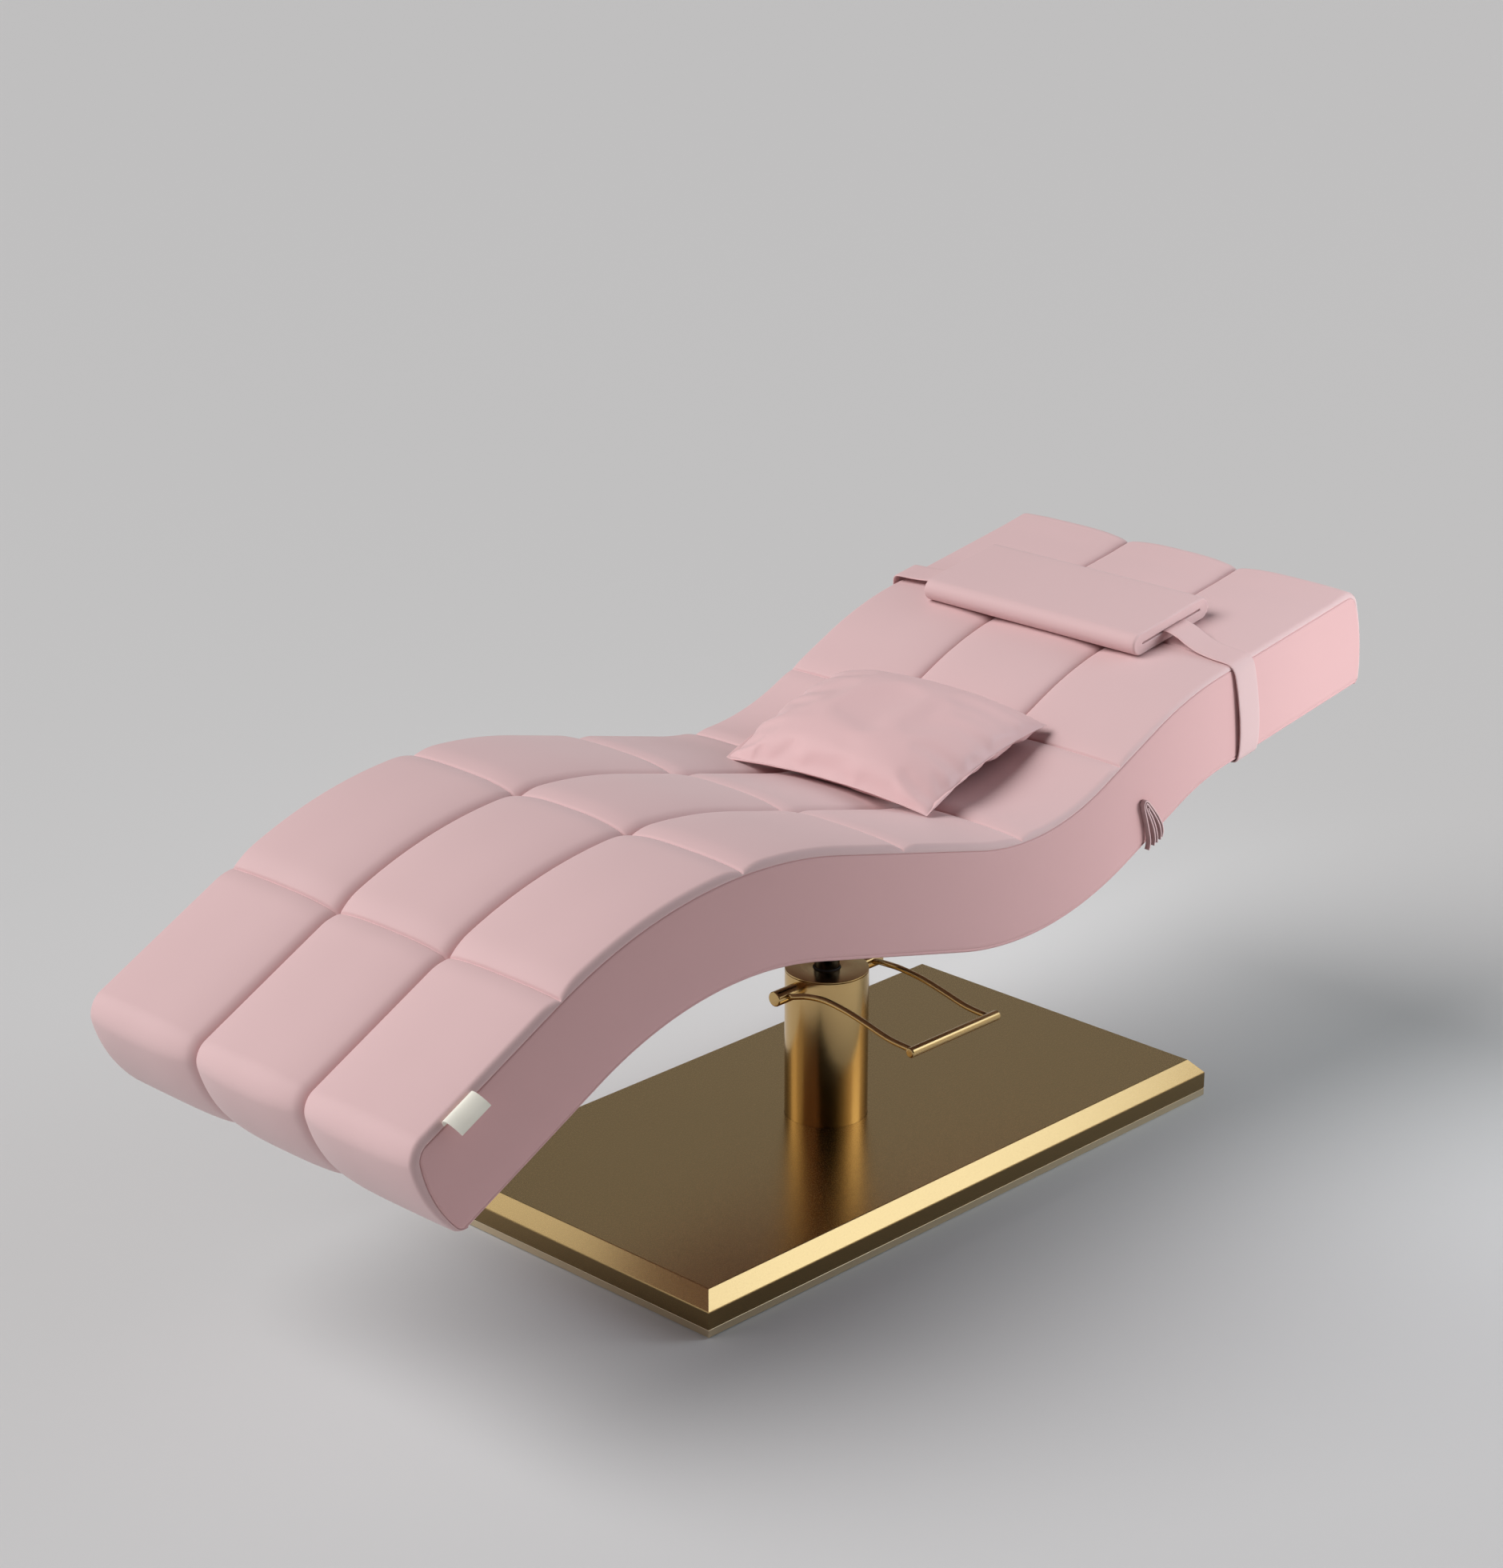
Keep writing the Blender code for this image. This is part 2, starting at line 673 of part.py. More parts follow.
def cover_stations():
    """Outline of the top cover from the foot end's bottom, over the top, to the head end's.

    Each entry holds the place, its outward normal, the crown and the share of a row
    between it and the next cross seam.
    """
    rows = []
    for station, depth, turn, drop_share in end_outline(FOOT_END_BULGE, FOOT_TUCK_RADIUS):
        place, tangent, normal = seam_frame(0.0)
        outward = normal * math.cos(turn) - tangent * math.sin(turn)
        crown = ROW_CROWNS[0] + (FOOT_END_CROWN - ROW_CROWNS[0]) * drop_share
        rows.append((place + tangent * station - normal * depth, outward, crown, PINCH_SHARE))
    for station, row, share in TOP_STATIONS:
        place, _, normal = seam_frame(station)
        near_seam = min(share, 1.0 - share)
        if (row == 0 and share < 0.5) or (row == len(ROW_SHARES) - 1 and share > 0.5):
            near_seam = PINCH_SHARE
        rows.append((place, normal, row_crown(station), near_seam))
    for station, depth, turn, drop_share in reversed(end_outline(HEAD_END_BULGE, HEAD_TUCK_RADIUS)):
        place, tangent, normal = seam_frame(SEAM_LENGTH)
        outward = normal * math.cos(turn) + tangent * math.sin(turn)
        crown = ROW_CROWNS[-1] + (HEAD_END_CROWN - ROW_CROWNS[-1]) * drop_share
        rows.append((place - tangent * station - normal * depth, outward, crown, PINCH_SHARE))
    return rows


def cover_inner_points():
    """Inner line of the top cover, one point for each of its stations."""
    wall_steps = END_STEPS + CORNER_STEPS // 2
    lead_steps = CORNER_STEPS - CORNER_STEPS // 2 + 1
    lead_end = TOP_STATIONS[1][0]
    if lead_end <= END_THICKNESS:
        lead_end = END_THICKNESS + (TOP_STATIONS[2][0] - END_THICKNESS) / 2.0
    foot = []
    for step in range(wall_steps):
        foot.append((END_THICKNESS, SKIRT_DEPTH + (QUILT_DEPTH - SKIRT_DEPTH) * step / wall_steps))
    for step in range(lead_steps):
        foot.append((END_THICKNESS + (lead_end - END_THICKNESS) * step / lead_steps, QUILT_DEPTH))
    points = [bed_point(station, depth, 0.0) for station, depth in foot]
    points.append(bed_point(lead_end, QUILT_DEPTH, 0.0))
    points.extend(bed_point(station, QUILT_DEPTH, 0.0) for station, _, _ in TOP_STATIONS[2:-2])
    points.append(bed_point(SEAM_LENGTH - lead_end, QUILT_DEPTH, 0.0))
    points.extend(bed_point(SEAM_LENGTH - station, depth, 0.0) for station, depth in reversed(foot))
    return points


def cover_columns():
    """Places across the quilted cover, as (y, column, share)."""
    pitch = BED_WIDTH / QUILT_COLUMNS
    places = []
    for column in range(QUILT_COLUMNS):
        for share in COLUMN_STEP_SHARES:
            places.append((-HALF_WIDTH + (column + share) * pitch, column, share))
    places.append((HALF_WIDTH, QUILT_COLUMNS - 1, 1.0))
    return places


def top_cover():
    rings = []
    for (place, outward, crown, near_seam), inner in zip(cover_stations(), cover_inner_points()):
        ring = []
        for y, column, share in cover_columns():
            rise = quilt_crown(column, share, crown, near_seam)
            point = place + outward * rise
            ring.append(Vector((point.x, y, point.z)))
        lip = place - outward * COVER_LIP
        for side in (1.0, -1.0):
            edge = [Vector((lip.x, side * HALF_WIDTH, lip.z)),
                    Vector((lip.x, side * CORE_HALF_WIDTH, lip.z)),
                    Vector((inner.x, side * CORE_HALF_WIDTH, inner.z))]
            ring.extend(edge if side > 0.0 else reversed(edge))
        rings.append(ring)
    return add_object("top_cover", loft_shape(rings), "pink_leather")


def side_cover_marks():
    """Top line of a side cover, as (station, depth, share of its end's shape)."""
    inset = COVER_LIP + GAP
    radius = END_CORNER_RADIUS - inset
    corner = []
    for step in range(CORNER_STEPS):
        turn = math.pi / 2.0 * (1.0 - step / CORNER_STEPS)
        along = END_CORNER_RADIUS - radius * math.sin(turn)
        down = END_CORNER_RADIUS - radius * math.cos(turn)
        corner.append((along, down, 1.0 - step / CORNER_STEPS))
    marks = list(corner)
    marks += [(station, inset, 0.0) for station, _, _ in TOP_STATIONS]
    marks += [(SEAM_LENGTH - station, depth, share) for station, depth, share in reversed(corner)]
    return marks


def side_cover(name, side):
    """One upholstered side panel, with the raised narrow band along its top."""
    outer = side * HALF_WIDTH
    inner = side * (HALF_WIDTH - SIDE_COVER_THICKNESS)
    band = outer + side * BAND_THICKNESS
    rings = []
    for station, depth, end_share in side_cover_marks():
        low = depth + BAND_WIDTH
        section = [(inner, depth), (outer, depth), (band, depth + BAND_THICKNESS), (band, low), (outer, low)]
        for share in SIDE_STEP_SHARES:
            bulge = SIDE_BULGE * (1.0 - (2.0 * share - 1.0) ** 2)
            section.append((outer + side * bulge, low + share * (SKIRT_DEPTH - low)))
        section += [(outer, SKIRT_DEPTH), (inner, SKIRT_DEPTH)]
        if station < SEAM_LENGTH / 2.0:
            direction, end_bulge, tuck = -1.0, FOOT_END_BULGE, FOOT_TUCK_RADIUS
        else:
            direction, end_bulge, tuck = 1.0, HEAD_END_BULGE, HEAD_TUCK_RADIUS
        ring = []
        for y, deep in section:
            _, tangent, _ = seam_frame(station)
            push = end_push(deep, end_bulge, tuck) * end_share * direction
            ring.append(bed_point(station, deep, y) + tangent * push)
        rings.append(ring)
    return add_object(name, loft_shape(rings), "pink_leather")


def bottom_panel():
    shape = swept_box(FOOT_TUCK_RADIUS, SEAM_LENGTH - HEAD_TUCK_RADIUS, -HALF_WIDTH, HALF_WIDTH,
                      SKIRT_DEPTH + GAP, BED_DEPTH)
    made = add_object("bottom_panel", shape, "pink_fabric")
    opening = rod_profile(BOTTOM_OPENING_RADIUS, HUB_LOW - BED_DEPTH, HUB_LOW + BED_DEPTH)
    cut(made, turned_shape(opening, ROUND_SIDES), "hub_opening")
    return made


def foam_core():
    return add_object("foam_core", core_slab(FOAM_TOP_DEPTH, FOAM_BOTTOM_DEPTH), "foam")


def deck_board():
    return add_object("deck_board", core_slab(DECK_TOP_DEPTH, DECK_BOTTOM_DEPTH), "plywood")


def side_apron(name, side):
    outer = side * CORE_HALF_WIDTH
    inner = side * (CORE_HALF_WIDTH - APRON_THICKNESS)
    shape = swept_box(CORE_START, CORE_END, inner, outer, FRAME_TOP_DEPTH, SKIRT_DEPTH)
    return add_object(name, shape, "plywood")


def end_board(name, start, end):
    half = CORE_HALF_WIDTH - APRON_THICKNESS - GAP
    return add_object(name, swept_box(start, end, -half, half, FRAME_TOP_DEPTH, SKIRT_DEPTH), "plywood")


def tube_ends_shape(outer_rings, inner_rings):
    """A tube wall between rings of equal length, open at both ends."""
    count = len(outer_rings[0])
    spans = len(outer_rings)
    verts = [point for ring in outer_rings + inner_rings for point in ring]
    faces = []
    for index in range(spans - 1):
        for step in range(count):
            follow = (step + 1) % count
            here = index * count
            there = here + count
            faces.append((here + step, here + follow, there + follow, there + step))
            here += spans * count
            there += spans * count
            faces.append((here + step, there + step, there + follow, here + follow))
    for index in (0, spans - 1):
        for step in range(count):
            follow = (step + 1) % count
            outer = index * count
            inner = (spans + index) * count
            faces.append((outer + step, inner + step, inner + follow, outer + follow))
    return verts, faces


def side_rail(name, side):
    """A bent box tube under the deck."""
    marks = stations_between(CORE_START + RAIL_END_MARGIN, CORE_END - RAIL_END_MARGIN)
    near = side * RAIL_INNER
    far = side * (RAIL_INNER + RAIL_WIDTH)
    wall = side * RAIL_WALL
    top = FRAME_TOP_DEPTH
    low = top + RAIL_HEIGHT
    outer = [(near, top), (far, top), (far, low), (near, low)]
    inner = [(near + wall, top + RAIL_WALL), (far - wall, top + RAIL_WALL),
             (far - wall, low - RAIL_WALL), (near + wall, low - RAIL_WALL)]
    outer_rings = [[bed_point(mark, depth, y) for y, depth in outer] for mark in marks]
    inner_rings = [[bed_point(mark, depth, y) for y, depth in inner] for mark in marks]
    return add_object(name, tube_ends_shape(outer_rings, inner_rings), "black_steel", smooth=False)


def cross_box(origin, tangent, normal, width, height, wall, half_length):
    """A box tube across the bed, with the middle of its top face at the origin."""
    def section(inset, y):
        corners = []
        for along, down in ((-1, 0), (1, 0), (1, 1), (-1, 1)):
            drop = inset if down == 0 else height - inset
            corner = origin + tangent * (along * (width / 2.0 - inset)) - normal * drop
            corners.append(Vector((corner.x, y, corner.z)))
        return corners
    outer = [section(0.0, y) for y in (-half_length, half_length)]
    inner = [section(wall, y) for y in (-half_length, half_length)]
    return tube_ends_shape(outer, inner)


def cross_tube(name, share):
    """A box tube across between the rails, following the deck's slope there."""
    origin, tangent, normal = chord_frame(share * SEAM_LENGTH, FRAME_TOP_DEPTH)
    shape = cross_box(origin, tangent, normal, CROSS_TUBE_SIZE, CROSS_TUBE_SIZE, RAIL_WALL, RAIL_INNER - GAP)
    return add_object(name, shape, "black_steel", smooth=False)


def mount_beam(name, sign):
    """A level box beam under the deck that carries the mounting plate."""
    origin = Vector((sign * BEAM_OFFSET, 0.0, BEAM_TOP))
    level = Vector((1.0, 0.0, 0.0))
    up = Vector((0.0, 0.0, 1.0))
    shape = cross_box(origin, level, up, BEAM_WIDTH, BEAM_HEIGHT, BEAM_WALL, RAIL_INNER - GAP)
    return add_object(name, shape, "black_steel", smooth=False)


def stepped_bolt(shank_radius, head_radius, head_height, shank_length, base, up):
    """A bolt as one turned body: a head and a shank that points up (1) or down (-1)."""
    profile = [(0.0, base), (head_radius, base), (head_radius, base + up * head_height),
               (shank_radius, base + up * head_height),
               (shank_radius, base + up * (head_height + shank_length)),
               (0.0, base + up * (head_height + shank_length))]
    return turned_shape(profile, TINY_SIDES)


def mount_plate():
    half_x = MOUNT_PLATE_LENGTH / 2.0
    half_y = MOUNT_PLATE_WIDTH / 2.0
    made = add_object("mount_plate", box_shape((-half_x, -half_y, MOUNT_LOW), (half_x, half_y, MOUNT_TOP)),
                      "black_steel", smooth=False)
    hole = rod_profile(SWIVEL_PIN_RADIUS + HUB_BUSH_WALL, MOUNT_LOW - OVERRUN, MOUNT_TOP + OVERRUN)
    cut(made, turned_shape(hole, ROUND_SIDES), "pin_hole")
    return made


def swivel_hub():
    bore = SWIVEL_PIN_RADIUS + RUN_GAP + HUB_BUSH_WALL + GAP
    profile = [(bore, HUB_LOW), (HUB_RADIUS, HUB_LOW), (HUB_RADIUS, HUB_FLANGE_LOW),
               (HUB_FLANGE_RADIUS, HUB_FLANGE_LOW), (HUB_FLANGE_RADIUS, HUB_TOP), (bore, HUB_TOP)]
    return add_object("swivel_hub", turned_shape(profile, ROUND_SIDES, closed=True), "black_steel")


def hub_bush():
    inner = SWIVEL_PIN_RADIUS + RUN_GAP
    profile = ring_profile(inner, inner + HUB_BUSH_WALL, HUB_LOW, HUB_TOP)
    return add_object("hub_bush", turned_shape(profile, ROUND_SIDES, closed=True), "bronze")


def thrust_washer():
    top = WASHER_LOW + THRUST_WASHER_THICKNESS
    profile = ring_profile(SWIVEL_PIN_RADIUS + RUN_GAP, COLLAR_RADIUS, WASHER_LOW, top)
    return add_object("thrust_washer", turned_shape(profile, ROUND_SIDES, closed=True), "bronze")


def swivel_retainer():
    """The washer and the bolt that keep the hub on the ram's pin, both on the ram."""
    low = MOUNT_TOP + GAP
    washer = turned_shape(ring_profile(RETAINER_BOLT_RADIUS + BOLT_GAP, RETAINER_RADIUS, low,
                                       low + RETAINER_THICKNESS), ROUND_SIDES, closed=True)
    base = low + RETAINER_THICKNESS + GAP + RETAINER_HEAD_HEIGHT
    shank = RETAINER_BOLT_LENGTH
    bolt = stepped_bolt(RETAINER_BOLT_RADIUS, RETAINER_HEAD_RADIUS, RETAINER_HEAD_HEIGHT, shank, base, -1)
    return [add_object("retainer_washer", washer, "steel"), add_object("retainer_bolt", bolt, "steel")]


def ram():
    """The pump's rod, with its swivel pin on top and the piston's spigot below."""
    piston_low = CYLINDER_LOW + PISTON_FLOOR + RAM_DOWN_STROKE
    piston_top = piston_low + PISTON_HEIGHT
    bolt_hole = RETAINER_BOLT_RADIUS + BOLT_GAP
    bolt_floor = MOUNT_TOP - RETAINER_BOLT_LENGTH
    profile = [(0.0, piston_low), (PISTON_SPIGOT_RADIUS, piston_low),
               (PISTON_SPIGOT_RADIUS, piston_top + GAP), (RAM_RADIUS, piston_top + GAP),
               (RAM_RADIUS, RAM_SHOULDER - COLLAR_HEIGHT),
               (COLLAR_RADIUS, RAM_SHOULDER - COLLAR_HEIGHT), (COLLAR_RADIUS, RAM_SHOULDER),
               (SWIVEL_PIN_RADIUS, RAM_SHOULDER), (SWIVEL_PIN_RADIUS, MOUNT_TOP), (bolt_hole, MOUNT_TOP),
               (bolt_hole, bolt_floor), (0.0, bolt_floor)]
    rod = add_object("ram_rod", turned_shape(profile, ROUND_SIDES), "black_chrome")
    groove_low = piston_low + (PISTON_HEIGHT - SEAL_GROOVE_HEIGHT) / 2.0
    groove_top = groove_low + SEAL_GROOVE_HEIGHT
    outer = CYLINDER_BORE_RADIUS - PISTON_GAP
    inner = PISTON_SPIGOT_RADIUS + GAP
    groove = outer - SEAL_GROOVE_DEPTH
    profile = [(inner, piston_low), (outer, piston_low), (outer, groove_low), (groove, groove_low),
               (groove, groove_top), (outer, groove_top), (outer, piston_top), (inner, piston_top)]
    piston = add_object("ram_piston", turned_shape(profile, ROUND_SIDES, closed=True), "steel")
    profile = ring_profile(groove + GAP, CYLINDER_BORE_RADIUS - RUN_GAP, groove_low + GAP, groove_top - GAP)
    seal = add_object("piston_seal", turned_shape(profile, ROUND_SIDES, closed=True), "rubber")
    return [rod, piston, seal]


def rectangle(half_x, half_y, z):
    return [Vector((-half_x, -half_y, z)), Vector((half_x, -half_y, z)),
            Vector((half_x, half_y, z)), Vector((-half_x, half_y, z))]


def base_mat():
    half_x = BASE_LENGTH / 2.0 - MAT_INSET
    half_y = BASE_WIDTH / 2.0 - MAT_INSET
    shape = loft_shape([rectangle(half_x, half_y, 0.0), rectangle(half_x, half_y, MAT_TOP)])
    return add_object("base_mat", shape, "rubber", smooth=False)


def base_plate():
    half_x = BASE_LENGTH / 2.0
    half_y = BASE_WIDTH / 2.0
    shape = loft_shape([rectangle(half_x, half_y, PLATE_LOW), rectangle(half_x, half_y, PLATE_TOP)])
    made = add_object("base_plate", shape, "gold_satin", smooth=False)
    bolt = rod_profile(FLANGE_BOLT_RADIUS + BOLT_GAP, PLATE_LOW - OVERRUN, PLATE_TOP + OVERRUN)
    holes = [shifted(turned_shape(bolt, TINY_SIDES), x, y, 0.0) for x, y in flange_bolt_places()]
    cut(made, joined(holes), "holes")
    return made


def base_cover():
    """The bevelled cover, a sheet shell that is open below."""
    half_x = BASE_LENGTH / 2.0
    half_y = BASE_WIDTH / 2.0
    shoulder = BASE_HEIGHT - CHAMFER_HEIGHT
    slope_wall = COVER_WALL * (math.hypot(CHAMFER_INSET, CHAMFER_HEIGHT) - CHAMFER_INSET) / CHAMFER_HEIGHT
    inner_top = BASE_HEIGHT - COVER_WALL
    top_inset = CHAMFER_INSET + COVER_WALL * math.hypot(CHAMFER_INSET, CHAMFER_HEIGHT) / CHAMFER_HEIGHT
    top_inset -= COVER_WALL * CHAMFER_INSET / CHAMFER_HEIGHT
    rings = [rectangle(half_x - top_inset, half_y - top_inset, inner_top),
             rectangle(half_x - COVER_WALL, half_y - COVER_WALL, shoulder - slope_wall),
             rectangle(half_x - COVER_WALL, half_y - COVER_WALL, COVER_LOW),
             rectangle(half_x, half_y, COVER_LOW),
             rectangle(half_x, half_y, shoulder),
             rectangle(half_x - CHAMFER_INSET, half_y - CHAMFER_INSET, BASE_HEIGHT)]
    made = add_object("base_cover", loft_shape(rings), "gold_satin", smooth=False)
    hole = rod_profile(COLUMN_RADIUS + GAP, inner_top - OVERRUN, BASE_HEIGHT + OVERRUN)
    cut(made, turned_shape(hole, COLUMN_SIDES), "column_hole")
    return made


def flange_bolt_places():
    places = []
    for step in range(4):
        angle = math.pi / 4.0 + step * math.pi / 2.0
        places.append((FLANGE_BOLT_CIRCLE * math.cos(angle), FLANGE_BOLT_CIRCLE * math.sin(angle)))
    return places


def pump_flange():
    disc = turned_shape(rod_profile(FLANGE_RADIUS, FLANGE_LOW, FLANGE_TOP), COLUMN_SIDES)
    made = add_object("pump_flange", disc, "black_steel")
    hole = rod_profile(FLANGE_BOLT_RADIUS + BOLT_GAP, FLANGE_LOW - OVERRUN, FLANGE_TOP + OVERRUN)
    holes = [shifted(turned_shape(hole, TINY_SIDES), x, y, 0.0) for x, y in flange_bolt_places()]
    cut(made, joined(holes), "bolt_holes")
    return made


def flange_bolts():
    base = FLANGE_TOP + GAP + FLANGE_BOLT_HEAD_HEIGHT
    shank = GAP + FLANGE_THICKNESS + BASE_PLATE_THICKNESS / 2.0
    bolt = stepped_bolt(FLANGE_BOLT_RADIUS, FLANGE_BOLT_HEAD_RADIUS, FLANGE_BOLT_HEAD_HEIGHT, shank, base, -1)
    for index, (x, y) in enumerate(flange_bolt_places()):
        add_object("flange_bolt_%d" % (index + 1), shifted(bolt, x, y, 0.0), "steel", smooth=False)


def column_tube():
    profile = ring_profile(COLUMN_RADIUS - COLUMN_WALL, COLUMN_RADIUS, FLANGE_TOP + GAP, CAP_LOW - GAP)
    made = add_object("column_tube", turned_shape(profile, COLUMN_SIDES, closed=True), "gold_satin")
    hole = rod_profile(PEDAL_SHAFT_RADIUS + RUN_GAP, -COLUMN_RADIUS - OVERRUN, COLUMN_RADIUS + OVERRUN)
    cut(made, shifted(along_x(turned_shape(hole, ROUND_SIDES)), 0.0, 0.0, SHAFT_HEIGHT), "shaft_holes")
    return made


def column_cap():
    """The round lid of the column, with a bevelled rim and a spigot inside the tube."""
    spigot = COLUMN_RADIUS - COLUMN_WALL - GAP
    bore = WIPER_RADIUS + GAP
    profile = [(bore, CAP_LOW), (spigot - CAP_SPIGOT_WALL, CAP_LOW),
               (spigot - CAP_SPIGOT_WALL, CAP_LOW - CAP_SPIGOT_DEPTH), (spigot, CAP_LOW - CAP_SPIGOT_DEPTH),
               (spigot, CAP_LOW), (COLUMN_RADIUS, CAP_LOW), (COLUMN_RADIUS, COLUMN_TOP - CAP_BEVEL),
               (COLUMN_RADIUS - CAP_BEVEL, COLUMN_TOP), (bore, COLUMN_TOP)]
    return add_object("column_cap", turned_shape(profile, COLUMN_SIDES, closed=True), "gold_satin")


def rod_wiper():
    """The black seal that the rod slides through, in the cap's hole."""
    bore = RAM_RADIUS + RUN_GAP
    lip = bore + (WIPER_RADIUS - bore) / 2.0
    top = COLUMN_TOP + WIPER_LIP_HEIGHT
    flange_top = CAP_LOW - GAP
    low = flange_top - WIPER_FLANGE_HEIGHT
    profile = [(bore, low), (WIPER_FLANGE_RADIUS, low), (WIPER_FLANGE_RADIUS, flange_top),
               (WIPER_RADIUS, flange_top), (WIPER_RADIUS, top - WIPER_LIP_HEIGHT / 2.0),
               (lip, top), (bore, top)]
    return add_object("rod_wiper", turned_shape(profile, ROUND_SIDES, closed=True), "rubber")


def plunger_place():
    return 0.0, -YOKE_RADIUS


def release_place():
    return YOKE_RADIUS * math.sin(RELEASE_ANGLE), -YOKE_RADIUS * math.cos(RELEASE_ANGLE)


def pump_body():
    """The reservoir, the pressure cylinder and the head that closes both."""
    low = FLANGE_TOP + GAP
    wall = ring_profile(RESERVOIR_RADIUS - RESERVOIR_WALL, RESERVOIR_RADIUS, low, PUMP_HEAD_LOW - GAP)
    reservoir = add_object("pump_reservoir", turned_shape(wall, ROUND_SIDES, closed=True), "black_steel")
    wall = ring_profile(CYLINDER_BORE_RADIUS, CYLINDER_RADIUS, low, PUMP_HEAD_LOW - GAP)
    cylinder = add_object("pump_cylinder", turned_shape(wall, ROUND_SIDES, closed=True), "steel")
    bore = RAM_RADIUS + RUN_GAP + GLAND_WALL + GAP
    body = ring_profile(bore, RESERVOIR_RADIUS, PUMP_HEAD_LOW, PUMP_HEAD_TOP)
    head = add_object("pump_head", turned_shape(body, ROUND_SIDES, closed=True), "black_steel")
    low = PUMP_HEAD_LOW - OVERRUN
    high = PUMP_HEAD_TOP + OVERRUN
    plunger_hole = turned_shape(rod_profile(PLUNGER_RADIUS + RUN_GAP, low, high), SMALL_SIDES)
    pin_hole = turned_shape(rod_profile(RELEASE_PIN_RADIUS + RUN_GAP, low, high), TINY_SIDES)
    bores = [shifted(plunger_hole, *plunger_place(), 0.0), shifted(pin_hole, *release_place(), 0.0)]
    cut(head, joined(bores), "bores")
    bush = ring_profile(RAM_RADIUS + RUN_GAP, bore - GAP, PUMP_HEAD_LOW, PUMP_HEAD_TOP)
    add_object("gland_bush", turned_shape(bush, ROUND_SIDES, closed=True), "bronze")
    return reservoir, cylinder, head


def plunger_barrel():
    """The small pump cylinder under the head, closed at its bottom."""
    top = PUMP_HEAD_LOW - GAP
    floor = top - BARREL_LENGTH
    inner = PLUNGER_RADIUS + RUN_GAP
    outer = inner + BARREL_WALL
    profile = [(0.0, floor - BARREL_FLOOR), (outer, floor - BARREL_FLOOR), (outer, top), (inner, top),
               (inner, floor), (0.0, floor)]
    add_object("plunger_barrel", shifted(turned_shape(profile, SMALL_SIDES), *plunger_place(), 0.0), "steel")


def plunger_top():
    return SHAFT_HEIGHT - NOSE_DROP - NOSE_RADIUS - GAP


def pump_plunger():
    x, y = plunger_place()
    top = plunger_top()
    head_low = top - PLUNGER_HEAD_HEIGHT
    tip = head_low - PLUNGER_LENGTH
    profile = [(0.0, tip), (PLUNGER_RADIUS, tip), (PLUNGER_RADIUS, head_low), (PLUNGER_HEAD_RADIUS, head_low),
               (PLUNGER_HEAD_RADIUS, top), (0.0, top)]
    return add_object("pump_plunger", shifted(turned_shape(profile, SMALL_SIDES), x, y, 0.0), "steel",
                      origin=(x, y, top))


def spring_gap(points, reach):
    """Least gap between points of the wire that lie more than half a turn apart."""
    gaps = []
    for index, point in enumerate(points):
        for other in points[index + reach:]:
            gaps.append((point - other).length - 2.0 * SPRING_WIRE_RADIUS)
    return min(gaps)


def return_spring():
    """The coil that lifts the plunger and, through it, the pedal."""
    x, y = plunger_place()
    radius = PLUNGER_RADIUS + RUN_GAP + 2.0 * SPRING_WIRE_RADIUS
    low = PUMP_HEAD_TOP + GAP + SPRING_WIRE_RADIUS
    high = plunger_top() - PLUNGER_HEAD_HEIGHT - GAP - SPRING_WIRE_RADIUS
    points_per_turn = 10
    count = SPRING_TURNS * points_per_turn
    points = []
    for step in range(count + 1):
        angle = 2.0 * math.pi * step / points_per_turn
        points.append(Vector((x + radius * math.cos(angle), y + radius * math.sin(angle),
                              low + (high - low) * step / count)))
    print("least gap in the return spring: %.2f mm" % (spring_gap(points, points_per_turn // 2) * 1000.0))
    return tube_along("return_spring", points, SPRING_WIRE_RADIUS, 1, "steel")


def tube_along(name, points, radius, resolution, material_name, origin=(0.0, 0.0, 0.0)):
    """A round bar along a line of points, with flat ends."""
    start = Vector(origin)
    curve = bpy.data.curves.new(name, "CURVE")
    curve.dimensions = "3D"
    curve.bevel_depth = radius
    curve.bevel_resolution = resolution
    curve.use_fill_caps = True
    curve.twist_mode = "MINIMUM"
    spline = curve.splines.new("POLY")
    spline.points.add(len(points) - 1)
    for item, point in zip(spline.points, points):
        item.co = (*(point - start), 1.0)
    curve.materials.append(material(material_name))
    made = bpy.data.objects.new(name, curve)
    made.location = start
    bpy.context.scene.collection.objects.link(made)
    return made


def release_tip_height():
    """Top of the release pin: just under the yoke when the pedal is fully down."""
    _, y = release_place()
    lever = abs(y) + RELEASE_TIP_RADIUS
    under = YOKE_HEIGHT / 2.0 / math.cos(PEDAL_STROKE) + lever * math.tan(PEDAL_STROKE)
    return SHAFT_HEIGHT - under - RELEASE_CLEARANCE


def release_valve():
    x, y = release_place()
    low = PUMP_HEAD_TOP + GAP
    wall = ring_profile(RELEASE_PIN_RADIUS + RUN_GAP, VALVE_BODY_RADIUS, low, low + VALVE_BODY_HEIGHT)
    shape = shifted(turned_shape(wall, TINY_SIDES, closed=True), x, y, 0.0)
    body = add_object("release_valve_body", shape, "steel", smooth=False)
    top = release_tip_height()
    tip_low = top - RELEASE_TIP_HEIGHT
    profile = [(0.0, PUMP_HEAD_LOW), (RELEASE_PIN_RADIUS, PUMP_HEAD_LOW), (RELEASE_PIN_RADIUS, tip_low),
               (RELEASE_TIP_RADIUS, tip_low), (RELEASE_TIP_RADIUS, top), (0.0, top)]
    pin = add_object("release_pin", shifted(turned_shape(profile, TINY_SIDES), x, y, 0.0), "steel",
                     origin=(x, y, top))
    return body, pin


def pedal_axis_place():
    return Vector((0.0, 0.0, SHAFT_HEIGHT))


